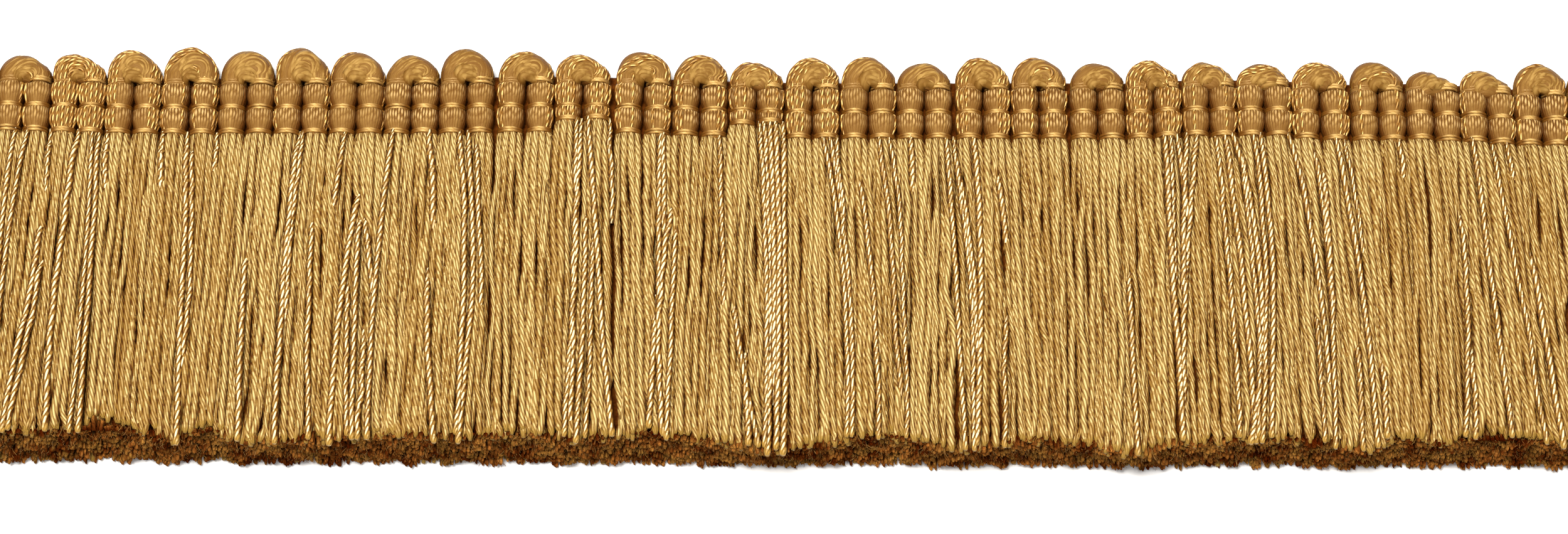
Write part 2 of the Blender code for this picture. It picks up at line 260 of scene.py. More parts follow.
def wander(rng: np.random.Generator, count: int, share: Array, waves: tuple[float, ...]) -> Array:
    """A slow, different wander for each of several yarns.

    It is a sum of sines along the yarn, one for each number of waves, each with its own phase and
    size for each yarn, and weaker the more waves it has.

    Args:
        rng: The source of the phases and sizes.
        count: How many yarns.
        share: Places along a yarn, from 0 to 1.
        waves: How many waves each sine has along the yarn.

    Returns:
        The wander, one row for each yarn and one column for each place, mostly within 1.
    """
    total = np.zeros((count, len(share)))
    for number in waves:
        phase = rng.uniform(0, 2 * np.pi, (count, 1))
        size = rng.normal(0, 0.5, (count, 1)) / math.sqrt(number)
        total += size * np.sin(2 * np.pi * number * share + phase)
    return total


def run_length(path: Array) -> Array:
    """The length run along each path up to each of its points."""
    step = np.linalg.norm(np.diff(path, axis=1), axis=2)
    return np.concatenate([np.zeros((len(path), 1)), np.cumsum(step, axis=1)], axis=1)


class Twist(Enum):
    """Which way a yarn's plies turn, as a sign of the turn along its path."""

    LEFT = 1.0
    RIGHT = -1.0


class Outline(Enum):
    """The outline of a yarn across it: its number of sides, and its first corner in degrees."""

    SIX_SIDED = (6, 30.0)
    FIVE_SIDED = (5, 18.0)
    HAIR = (3, 0.0)

    def corners(self) -> Array:
        """The corners' places as shares of a turn, with the way back to the first as the last."""
        sides, first = self.value
        return first / 360.0 + np.arange(sides + 1) / sides


@dataclass(frozen=True)
class Yarn:
    """A kind of yarn: its radius, the length of one full turn of its plies, its twist and outline."""

    radius: float
    pitch: float
    twist: Twist
    outline: Outline


@dataclass
class Rings:
    """Closed rings of points, one stack of rings for each tube, ready to be joined by faces.

    points has the shape (tubes, rings, points of a ring, 3). around is how many turns each point of
    a ring lies round the yarn, with one more column for the way back to the first. tint, end and
    painted_shade colour each ring: its yarn's own shade; how near the cut it is, or on the heading
    how much painted light or shade it takes; and how much painted shade it takes for lying deep,
    which is painted light where it is below 0.
    """

    points: Array
    around: Array
    tint: Array
    end: Array
    painted_shade: Array

    @classmethod
    def plain(cls, points: Array) -> Rings:
        """Rings without marks.

        Args:
            points: The points of one stack of rings, (rings, points of a ring, 3).

        Returns:
            The rings.
        """
        rings, count = points.shape[:2]
        around = np.broadcast_to(np.linspace(0, 1, count + 1), (1, rings, count + 1))
        none = np.zeros((1, rings))
        return cls(points[None], around, none, none, none)

    def faces(self, start: int) -> tuple[Array, Array]:
        """The faces: four-sided ones between rings, and a cap at each end of a tube.

        Args:
            start: The number of the first point.

        Returns:
            The corners of the four-sided faces, (faces, 4), and of the caps, (caps, ring points).
        """
        shape = self.points.shape[:3]
        number = start + np.arange(np.prod(shape)).reshape(shape)
        beside = np.roll(number, -1, axis=2)
        quads = np.stack([number[:, :-1], number[:, 1:], beside[:, 1:], beside[:, :-1]], axis=-1)
        return quads.reshape(-1, 4), np.concatenate([number[:, 0], number[:, -1, ::-1]])

    def unwrapped(self) -> Array:
        """The place of each face corner on the yarn: turns round it, and millimetres along it.

        Each tube starts somewhere else along its length, so no two yarns carry the same marks.

        Returns:
            The places, (face corners, 2).
        """
        length = run_length(self.points.mean(axis=2)) / MM + 7.31 * np.arange(len(self.points))[:, None]
        both = np.stack([self.around, np.broadcast_to(length[..., None], self.around.shape)], axis=-1)
        low, high = both[:, :-1], both[:, 1:]
        quads = np.stack([low[:, :, :-1], high[:, :, :-1], high[:, :, 1:], low[:, :, 1:]], axis=-2)
        caps = np.concatenate([both[:, 0, :-1], both[:, -1, -2::-1]])
        return np.concatenate([quads.reshape(-1, 2), caps.reshape(-1, 2)])

    def values(self) -> dict[str, Array]:
        """The numbers that colour each point, by the names that the finishes read.

        crown is how near a point is to its ring's top or bottom: 1 there, and 0 halfway up its sides.
        The finishes paint highlights near the crown and shade towards the sides from it.

        Returns:
            The numbers of each name, (points,).
        """
        count = self.points.shape[2]
        named = {name: np.repeat(getattr(self, name).ravel(), count) for name in ("tint", "end", "painted_shade")}
        high = self.points[..., 2] - self.points[..., 2].mean(axis=2, keepdims=True)
        named["crown"] = np.abs(high / np.abs(high).max(axis=2, keepdims=True)).ravel()
        return named


def follow(
    path: Array,
    radius: Array,
    yarn: Yarn,
    rng: np.random.Generator,
    tint: Array,
    end: Optional[Array] = None,
    painted_shade: Optional[Array] = None,
    up: Colour = (0.0, 0.0, 1.0),
) -> Rings:
    """Carries a yarn's outline along many paths at once, while the marks on it turn with its plies.

    Each ring lies across its path, in the plane of two directions: side, which is the path's
    direction crossed with up, and top, which is side crossed with the path's direction. A point of
    the ring is the path's point plus side times the cosine and top times the sine of its angle,
    times the radius. The marks turn by one full turn for each pitch of length.

    Args:
        path: Points of the paths, (tubes, rings, 3).
        radius: The yarn's radius at each, (tubes, rings).
        yarn: The kind of yarn.
        rng: The source of each tube's first angle.
        tint: Each tube's own shade, (tubes,).
        end: How near the cut each ring is, or on the heading its painted shade, (tubes, rings), or None for
            neither.
        painted_shade: Painted shade where each ring lies deep, light below 0, (tubes, rings), or None for
            none.
        up: A direction that no path runs along.

    Returns:
        The rings.
    """
    along = np.gradient(path, axis=1)
    along /= np.linalg.norm(along, axis=2, keepdims=True)
    side = np.cross(along, np.array(up))
    side /= np.linalg.norm(side, axis=2, keepdims=True)
    top = np.cross(side, along)
    first = rng.uniform(0, 1, (len(path), 1))
    turns = first + yarn.twist.value * run_length(path) / yarn.pitch
    corners = yarn.outline.corners()
    angle = 2 * np.pi * corners[:-1]
    across = (radius[..., None] * np.cos(angle))[..., None] * side[:, :, None]
    upward = (radius[..., None] * np.sin(angle))[..., None] * top[:, :, None]
    shade = np.broadcast_to(tint[:, None], turns.shape)
    near = np.zeros(turns.shape) if end is None else end
    deep = np.zeros(turns.shape) if painted_shade is None else painted_shade
    return Rings(path[:, :, None] + across + upward, corners - turns[..., None], shade, near, deep)


class Piece:
    """A joined mesh, gathered from stacks of rings and made into one object at the origin."""

    def __init__(self, name: str, *rings: Rings) -> None:
        """Starts a piece of this name, with the stacks of rings that it has already."""
        self.name = name
        self.rings = list(rings)

    def _mesh(self) -> tuple[bpy.types.Mesh, int]:
        """Joins the rings into one smooth mesh, which has no marks yet.

        Returns:
            The mesh, and how many triangles it has.
        """
        corners: list[Array] = []
        counts: list[Array] = []
        start = 0
        for rings in self.rings:
            quads, caps = rings.faces(start)
            corners += [quads.ravel(), caps.ravel()]
            counts += [np.full(len(quads), 4), np.full(len(caps), caps.shape[1])]
            start += rings.points[..., 0].size
        count = np.concatenate(counts)
        corner = np.concatenate(corners).astype(np.int32)
        points = np.concatenate([rings.points.ravel() for rings in self.rings])
        mesh = bpy.data.meshes.new(self.name)
        mesh.vertices.add(start)
        mesh.vertices.foreach_set("co", points.astype(np.float32))
        mesh.loops.add(len(corner))
        mesh.loops.foreach_set("vertex_index", corner)
        mesh.polygons.add(len(count))
        firsts = np.concatenate([[0], np.cumsum(count)[:-1]]).astype(np.int32)
        mesh.polygons.foreach_set("loop_start", firsts)
        mesh.polygons.foreach_set("use_smooth", np.ones(len(count), dtype=bool))
        mesh.update(calc_edges=True)
        return mesh, int((count - 2).sum())

    def build(self, finish: str, slot: str) -> bpy.types.Object:
        """Makes the object, dresses it and lets it ride with the fringe.

        Args:
            finish: The name of its finish in the table.
            slot: Not used.

        Returns:
            The finished object.
        """
        mesh, triangles = self._mesh()
        values = [rings.values() for rings in self.rings]
        for name in values[0]:
            layer = mesh.attributes.new(name, "FLOAT", "POINT")
            layer.data.foreach_set("value", np.concatenate([row[name] for row in values]).astype(np.float32))
        unwrapped = np.concatenate([rings.unwrapped() for rings in self.rings])
        mesh.uv_layers.new(name="yarn").data.foreach_set("uv", unwrapped.ravel().astype(np.float32))
        mesh.materials.append(FINISHES[finish])
        obj = bpy.data.objects.new(self.name, mesh)
        bpy.context.scene.collection.objects.link(obj)
        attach(obj, "root")
        LOG.info("%s: %d triangles", self.name, triangles)
        return obj


# Finishes


class Value:
    """A number or colour that a node gives, so that sums on it are written with the usual signs."""

    def __init__(self, graph: Graph, socket: bpy.types.NodeSocket) -> None:
        """Holds a socket of a material's nodes."""
        self.graph = graph
        self.socket = socket

    def __add__(self, other: Value | float) -> Value:
        """This and the other together."""
        return self.graph.math("ADD", self, other)

    def __sub__(self, other: Value | float) -> Value:
        """This less the other."""
        return self.graph.math("SUBTRACT", self, other)

    def __rsub__(self, other: float) -> Value:
        """The other less this."""
        return self.graph.math("SUBTRACT", other, self)

    def __mul__(self, other: Value | float) -> Value:
        """This times the other."""
        return self.graph.math("MULTIPLY", self, other)


class Graph:
    """A short way to write a material's nodes."""

    def __init__(self, name: str) -> None:
        """Starts a material with its Principled shader.

        Args:
            name: The material's name.
        """
        self.material = bpy.data.materials.new(name)
        self.material.use_nodes = True
        self.tree = self.material.node_tree
        self.shader = self.tree.nodes["Principled BSDF"]

    def plug(self, socket: bpy.types.NodeSocket, value: Value | Colour | float) -> None:
        """Gives a socket its value.

        Args:
            socket: The socket.
            value: What a node gives, which is linked, or else a fixed colour or number.
        """
        if isinstance(value, Value):
            self.tree.links.new(value.socket, socket)
        else:
            socket.default_value = (*value, 1.0) if isinstance(value, tuple) else value

    def node(self, kind: str, inputs: dict, output: int | str, **settings: str) -> Value:
        """Makes a node.

        Args:
            kind: The node's type.
            inputs: What its sockets take, by number or name.
            output: The number or name of the output that is wanted.
            settings: Its other settings.

        Returns:
            What the output gives.
        """
        node = self.tree.nodes.new(kind)
        for name, setting in settings.items():
            setattr(node, name, setting)
        for key, value in inputs.items():
            self.plug(node.inputs[key], value)
        return Value(self, node.outputs[output])

    def attribute(self, name: str) -> Value:
        """The value of one of the mesh's own attributes."""
        return self.node("ShaderNodeAttribute", {}, "Fac", attribute_name=name)

    def math(self, operation: str, *values: Value | float) -> Value:
        """A sum on one or two numbers."""
        return self.node("ShaderNodeMath", dict(enumerate(values)), 0, operation=operation)

    def mix(self, share: Value, first: Value | Colour, second: Value | Colour) -> Value:
        """A colour between two others."""
        return self.node("ShaderNodeMix", {0: share, 6: first, 7: second}, 2, data_type="RGBA")

    def spread(self, value: Value, low: float, high: float, first: float = 0.0, last: float = 1.0) -> Value:
        """A number moved from one range into another on a smooth step, and held inside it."""
        inputs = dict(enumerate((value, low, high, first, last)))
        return self.node("ShaderNodeMapRange", inputs, 0, interpolation_type="SMOOTHSTEP")

    def unwrapped(self) -> tuple[Value, Value]:
        """The place on the yarn.

        Returns:
            How many turns round it the place lies, and how many millimetres along it.
        """
        place = self.node("ShaderNodeTexCoord", {}, "UV")
        around = self.node("ShaderNodeSeparateXYZ", {0: place}, 0)
        return around, Value(self, around.socket.node.outputs[1])

    def noise(self, place: Optional[Sequence[Value | float]], scale: float, detail: float = 2.0) -> Value:
        """Noise from 0 to 1.

        Args:
            place: The three numbers of its place, or None for the object's own points.
            scale: How many of its lumps there are to a length of 1.
            detail: How many times finer lumps are laid over them.

        Returns:
            The noise.
        """
        if place is None:
            vector = self.node("ShaderNodeTexCoord", {}, "Object")
        else:
            vector = self.node("ShaderNodeCombineXYZ", dict(enumerate(place)), 0)
        return self.node("ShaderNodeTexNoise", {"Vector": vector, "Scale": scale, "Detail": detail}, "Fac")

    def chance(self, place: Sequence[Value | float]) -> Value:
        """A fixed random number from 0 to 1 for each different place of three numbers."""
        vector = self.node("ShaderNodeCombineXYZ", dict(enumerate(place)), 0)
        return self.node("ShaderNodeTexWhiteNoise", {"Vector": vector}, "Value", noise_dimensions="3D")

    def bump(self, height: Value, distance: float) -> None:
        """Fine relief on the shader: distance is the depth that a height of 1 stands for."""
        inputs = {"Strength": 1.0, "Distance": distance, "Height": height}
        self.plug(self.shader.inputs["Normal"], self.node("ShaderNodeBump", inputs, "Normal"))

    def ridge(self, turns: Value, count: float) -> tuple[Value, Value]:
        """Round ridges side by side.

        Args:
            turns: A place that grows by 1 over all the ridges.
            count: How many ridges there are in it.

        Returns:
            How far off the ridge's crown the place is, from 0 to 1, and the ridge's height there: the
            square root of 1 less 0.92 times the first number's square.
        """
        off = self.math("ABSOLUTE", self.math("FRACT", turns * count) * 2.0 - 1.0)
        return off, self.math("SQRT", off * off * -0.92 + 1.0)

    def dress(self, colour: Value, roughness: float, specular: float) -> bpy.types.Material:
        """Gives the shader its colour and a warm shine.

        Args:
            colour: The colour.
            roughness: The shader's roughness.
            specular: How strongly it shines.

        Returns:
            The finished material.
        """
        inputs = {
            "Base Color": colour, "Roughness": roughness,
            "Specular IOR Level": specular, "Specular Tint": (1.0, 0.72, 0.36),
        }
        for name, value in inputs.items():
            self.plug(self.shader.inputs[name], value)
        return self.material


@dataclass(frozen=True)
class YarnFinish:
    """The finish of a plied yarn.

    lit is the colour of the painted highlight on a ply's stroke where it crosses the yarn's crown,
    base the colour round it, and groove_shade the painted shade between the plies and at the yarn's
    flanks. deep is the base of the darkest yarns: those whose own tone is darkest, and those painted
    in shade where they lie deep. cut is the colour of the brushed-out end, and on the heading's matte
    cords, inner strands and binding threads the colour of their painted shade. girth is the way round
    the yarn in millimetres, and stroke the two heights between which a ply's stroke comes up. flanks
    is how strongly the painted shade darkens grooves and flanks, and relief how deep the grooves are.
    uneven is how much the shade changes along a yarn, edge how far its outer edges take painted shade
    as the grooves do, and brushed how fully its end takes the cut's colour.
    """

    name: str
    lit: Colour
    base: Colour
    deep: Colour
    groove_shade: Colour
    cut: Colour
    plies: int
    girth: float
    roughness: float
    specular: float
    stroke: tuple[float, float]
    flanks: float
    relief: float
    uneven: float = 0.3
    edge: float = 0.6
    brushed: float = 1.0

    def material(self) -> bpy.types.Material:
        """The finish as a material: strokes of the plies, painted highlights and shade, and a brushed end.

        A stroke shows in the lit colour, a painted highlight, where the ply's height times the yarn's
        crown passes from the first stroke number to the second. Painted shade darkens the grooves and
        the flanks away from the crown. Slow noise along the yarn makes its twist uneven, and some
        strokes fade.

        Returns:
            The material.
        """
        graph = Graph(self.name)
        around, along = graph.unwrapped()
        tint, crown = graph.attribute("tint"), graph.attribute("crown")
        around = graph.noise((along * 0.22, tint * 90.0, 0.0), 1.0) * 0.35 + around
        off, height = graph.ridge(around, self.plies)
        ply = graph.math("FLOOR", around * self.plies)
        fibres = graph.noise((around * (self.girth * 7.0), along, tint * 40.0), 1.3, 3.0)
        own = graph.noise((along * 1.1, tint * 60.0, ply), 1.0)
        shade = tint + graph.spread(own, 0.41, 0.59, -self.uneven, self.uneven)
        # Painted shade where the yarn lies deep under its neighbours, and painted light just under the
        # binding.
        shade = shade + graph.attribute("painted_shade") * graph.spread(own, 0.42, 0.56, -1.1, -0.1)
        base = graph.mix(graph.spread(shade, 0.0, 0.8), self.deep, self.base)
        # Painted highlight: a ply's stroke shows only near the yarn's crown.
        stroke = graph.spread(crown, 0.5, 1.0) * (1.0 - off) + (fibres - 0.5) * 0.35
        shown = graph.spread(stroke, *self.stroke) * graph.spread(shade, 0.1, 0.7, 0.35, 1.0)
        lit = graph.mix(shown, base, self.lit)
        # Painted shade on the flanks away from the crown and in the grooves between the plies.
        flank_shade = graph.spread(crown, 0.5, 0.75, self.edge, 0.0) * (off + 0.35)
        gap = off * 0.74 + flank_shade + (0.5 - own) * 0.9
        painted_shade = graph.mix(graph.spread(gap, 0.42, 1.05, 0.0, self.flanks), lit, self.groove_shade)
        end = graph.spread(graph.attribute("end"), 0.0, 0.6, 0.0, self.brushed)
        graph.bump(fibres * 0.22 + height, self.relief)
        return graph.dress(graph.mix(end, painted_shade, self.cut), self.roughness, self.specular)


@dataclass(frozen=True)
class BundleFinish:
    """The finish of a bundle drawn in so tight that its yarns are only fine ridges on it.

    strands is how many yarns there are round it, and stroke the length in millimetres of one ply's
    stroke on a yarn. A yarn's own shade lies between deep and pale. The other fields are as for a
    plied yarn.
    """

    name: str
    lit: Colour
    deep: Colour
    pale: Colour
    groove_shade: Colour
    strands: int
    stroke: float
    roughness: float
    specular: float
    relief: float

    def material(self) -> bpy.types.Material:
        """The finish as a material: each yarn with its own shade, and its plies as slanting strokes.

        The strokes and their painted highlights show fully where the end attribute is 1. Where it is 0
        the bundle is smooth and painted deeper in colour, as shade. The bundle darkens to the
        groove_shade colour at its flanks, which is painted shade too.

        Returns:
            The material.
        """
        graph = Graph(self.name)
        around, along = graph.unwrapped()
        tint, relief_and_light = graph.attribute("tint"), graph.attribute("end")
        around = graph.noise((around * 9.0, along * 0.6, tint), 1.0) * 0.035 + around
        off, height = graph.ridge(around, self.strands)
        own = graph.chance((graph.math("FLOOR", around * self.strands), tint * 50.0, 0.0))
        slanted = around * (self.strands * 0.15) + along * (1 / self.stroke)
        stroke_off, stroke = graph.ridge(slanted + own, 1.0)
        fibres = graph.noise((around * 40.0, along, tint), 1.5, 3.0)
        bands = graph.noise((around * 22.0, along * 0.12, tint), 1.0)
        shade = graph.mix(own * 0.45 + graph.spread(bands, 0.3, 0.7, 0.1, 0.6), self.deep, self.pale)
        streaked = graph.mix(graph.spread(fibres, 0.42, 0.75, 0.0, 0.4), shade, self.deep)
        # Painted shade where the end number is low: at the necks, low on each bead and over the arches.
        shaded_where_unlit = graph.mix(graph.spread(relief_and_light, 0.0, 0.8, 0.65, 0.0), streaked, self.deep)
        shown = relief_and_light * 0.85 + 0.15
        grooved = graph.mix(graph.spread(off, 0.4, 1.0, 0.0, 0.85) * shown, shaded_where_unlit, self.groove_shade)
        broken = graph.mix(graph.spread(stroke_off, 0.6, 1.0, 0.0, 0.55) * shown, grooved, self.groove_shade)
        core = graph.spread((1.0 - off) * (1.0 - stroke_off), 0.2, 0.6)
        # Painted highlight on the strokes where the end number is high.
        lit = graph.mix(core * graph.spread(relief_and_light, 0.3, 0.9, 0.0, 0.8), broken, self.lit)
        # Painted shade on the flanks, away from the crown.
        rim_shade = graph.spread(graph.attribute("crown"), 0.1, 0.62, 0.8, 0.0)
        relief = (stroke * 0.7 + height) * shown + (1.0 - relief_and_light) * (bands * 1.4)
        graph.bump(fibres * 0.2 + relief, self.relief)
        return graph.dress(graph.mix(rim_shade, lit, self.groove_shade), self.roughness, self.specular)


@dataclass(frozen=True)
class CutFinish:
    """The finish of the cut: brushed-out ends in patches of brown and olive, with painted shade deeper in
    between them.
    """

    name: str
    deep: Colour
    pale: Colour
    olive: Colour

    def material(self) -> bpy.types.Material:
        """The finish as a material: felted patches of brown and olive, with fine fibres in them.

        Returns:
            The material.
        """
        graph = Graph(self.name)
        around, along = graph.unwrapped()
        tint, tip = graph.attribute("tint"), graph.attribute("end")
        fibres = graph.spread(graph.noise((around * 8.0, along * 1.2, tint), 1.6, 3.0), 0.35, 0.7)
        felt = graph.spread(graph.noise(None, 1000.0, 4.0), 0.36, 0.64)
        # The tufts' own tone from tint, felt patches and fibres; the tint also paints light towards the face.
        lit = tint * 0.3 + (felt * 0.55 + fibres * 0.25)
        # Painted shade: each tuft darkens towards its inner end, deeper in between the tips.
        shade = graph.mix(lit * graph.spread(tip, 0.0, 0.9, 0.1, 1.0), self.deep, self.pale)
        patches = graph.spread(graph.noise(None, 480.0, 3.0), 0.47, 0.6, 0.0, 0.5)
        shade = graph.mix(graph.spread(graph.noise(None, 400.0), 0.4, 0.55, 0.85, 0.0), shade, self.deep)
        olive = tip * (patches * graph.spread(fibres, 0.0, 1.0, 0.4, 1.0))
        graph.bump(fibres, 0.12 * MM)
        return graph.dress(graph.mix(olive, shade, self.olive), 1.0, 0.0)


@dataclass(frozen=True)
class ShadeFinish:
    """Painted shade: a plain dark finish for the gold yarn that lies deep between the bundles and in the
    skirt.
    """

    name: str
    deep: Colour
    pale: Colour

    def material(self) -> bpy.types.Material:
        """The finish as a material: two dark browns of painted shade, mixed by noise.

        Returns:
            The material.
        """
        graph = Graph(self.name)
        patches = graph.spread(graph.noise(None, 2500.0, 3.0), 0.3, 0.7)
        return graph.dress(graph.mix(patches, self.deep, self.pale), 0.9, 0.1)


# In each finish, lit is a painted highlight and groove_shade painted shade.
FINISH_TABLE: dict[str, YarnFinish | BundleFinish | CutFinish | ShadeFinish] = {
    "matte": YarnFinish(
        "matte_gold_yarn", lit=(0.65, 0.475, 0.2), base=(0.338, 0.207, 0.058), deep=(0.258, 0.132, 0.024),
        groove_shade=(0.095, 0.021, 0.001), cut=(0.28, 0.155, 0.026), plies=7, girth=2.2, roughness=0.6,
        specular=0.3, stroke=(0.38, 0.68), flanks=0.95, relief=0.09 * MM, brushed=0.9,
    ),
    "bright": YarnFinish(
        "lustrous_gold_yarn", lit=(0.88, 0.75, 0.44), base=(0.30, 0.152, 0.028), deep=(0.28, 0.132, 0.023),
        groove_shade=(0.075, 0.017, 0.001), cut=(0.40, 0.22, 0.04), plies=5, girth=2.0, roughness=0.4,
        specular=0.35, stroke=(0.32, 0.54), flanks=1.0, relief=0.12 * MM, uneven=0.9, edge=0.9,
    ),
    "bundle": BundleFinish(
        "bundled_gold_yarn", lit=(0.66, 0.435, 0.18), deep=(0.17, 0.073, 0.013), pale=(0.362, 0.204, 0.054),
        groove_shade=(0.085, 0.018, 0.001), strands=28, stroke=1.05, roughness=0.5, specular=0.2, relief=0.1 * MM,
    ),
    "cord": YarnFinish(
        "heading_gold_yarn", lit=(0.38, 0.22, 0.06), base=(0.31, 0.17, 0.04), deep=(0.19, 0.088, 0.015),
        groove_shade=(0.11, 0.038, 0.005), cut=(0.18, 0.075, 0.011), plies=3, girth=1.4, roughness=0.55,
        specular=0.25, stroke=(0.25, 0.9), flanks=0.35, relief=0.03 * MM,
    ),
    "bright_cord": YarnFinish(
        "lustrous_gold_cord", lit=(0.80, 0.54, 0.20), base=(0.31, 0.145, 0.026), deep=(0.24, 0.095, 0.014),
        groove_shade=(0.09, 0.028, 0.003), cut=(0.40, 0.20, 0.03), plies=3, girth=1.4, roughness=0.4,
        specular=0.25, stroke=(0.28, 0.6), flanks=0.95, relief=0.12 * MM, uneven=0.5,
    ),
    "binding": YarnFinish(
        "binding_gold_thread", lit=(0.54, 0.335, 0.11), base=(0.41, 0.235, 0.058), deep=(0.30, 0.15, 0.03),
        groove_shade=(0.18, 0.07, 0.01), cut=(0.15, 0.055, 0.007), plies=2, girth=1.1, roughness=0.35,
        specular=0.6, stroke=(0.0, 0.3), flanks=0.1, relief=0.02 * MM,
    ),
    "fluff": YarnFinish(
        "loose_gold_fibre", lit=(0.42, 0.24, 0.07), base=(0.30, 0.14, 0.03), deep=(0.13, 0.045, 0.006),
        groove_shade=(0.13, 0.045, 0.006), cut=(0.3, 0.15, 0.03), plies=1, girth=0.2, roughness=0.5,
        specular=0.4, stroke=(0.2, 0.6), flanks=0.0, relief=0.0,
    ),
    "cut": CutFinish(
        # The cut's dark browns are partly the cut ends' own colour and partly painted shade.
        "cut_gold_yarn", deep=(0.075, 0.008, 0.0003), pale=(0.52, 0.195, 0.036), olive=(0.64, 0.35, 0.07),
    ),
    # Painted shade for the skirt's core and the woven back, which are of the same gold yarn.
    "shade": ShadeFinish("painted_shade_gold_yarn", deep=(0.06, 0.012, 0.001), pale=(0.12, 0.031, 0.003)),
}

FINISHES: dict[str, bpy.types.Material] = {}


# The fringe's plan


@dataclass(frozen=True)
class Plan:
    """Where things lie in the frame, worked out from the boxes of the solids that carry them.

    drop is the skirt's length. bottom_up and tuck are how far up the cloth from the root the lowest
    binding lies and the yarns start. axis is the height of the bundles' middle line over the floor.
    """

    root: float
    left: float
    right: float
    columns: int = 60
    drop: float = 36.0 * MM
    root_thickness: float = 2.9 * MM
    cut_thickness: float = 7.0 * MM
    bottom_up: float = 0.3 * MM
    binding_pitch: float = 2.75 * MM
    tuck: float = 0.35 * MM
    axis: float = 1.62 * MM

    @classmethod
    def from_frame(cls) -> Plan:
        """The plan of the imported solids.

        Returns:
            The plan.
        """
        heading_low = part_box("heading")[0]
        skirt_low, skirt_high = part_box("skirt")
        return cls(root=heading_low[1], left=skirt_low[0], right=skirt_high[0])

    @property
    def pitch(self) -> float:
        """The width of a column."""
        return (self.right - self.left) / self.columns

    def column_x(self, column: Array) -> Array:
        """The middle of each column, counted from the left end. The columns drift along the fringe."""
        even = self.left + (np.asarray(column) + 0.5) * self.pitch
        return even + eased(COLUMN_WAVE, even)

    def nearest_column(self, x: Array) -> Array:
        """The number of the column whose middle is nearest to each place along the fringe."""
        middles = self.column_x(np.arange(self.columns))
        return np.argmin(np.abs(x[..., None] - middles), axis=-1)

    def thickness(self, share: Array) -> Array:
        """The skirt's thickness, which grows as the share of its length to the power 0.7."""
        grown = (self.cut_thickness - self.root_thickness) * np.clip(share, 0, 1) ** 0.7
        return self.root_thickness + grown

    def lift(self, column: Array) -> Array:
        """How far a short column's lowest binding sits over the others.

        Args:
            column: Numbers of columns.

        Returns:
            How far it sits over them, 0 for the other columns, of the shape of column.
        """
        left = np.ones(self.columns)
        left[list(SHORT_BEADS)] = list(SHORT_BEADS.values())
        return (1.0 - left[column]) * self.binding_pitch

    def yarn_start(self, x: Array, lift: Array) -> Array:
        """Where yarns start under the lowest binding, at their places along it."""
        return self.root + self.tuck + eased(HEADING_WAVE, x) + lift


# Skirt


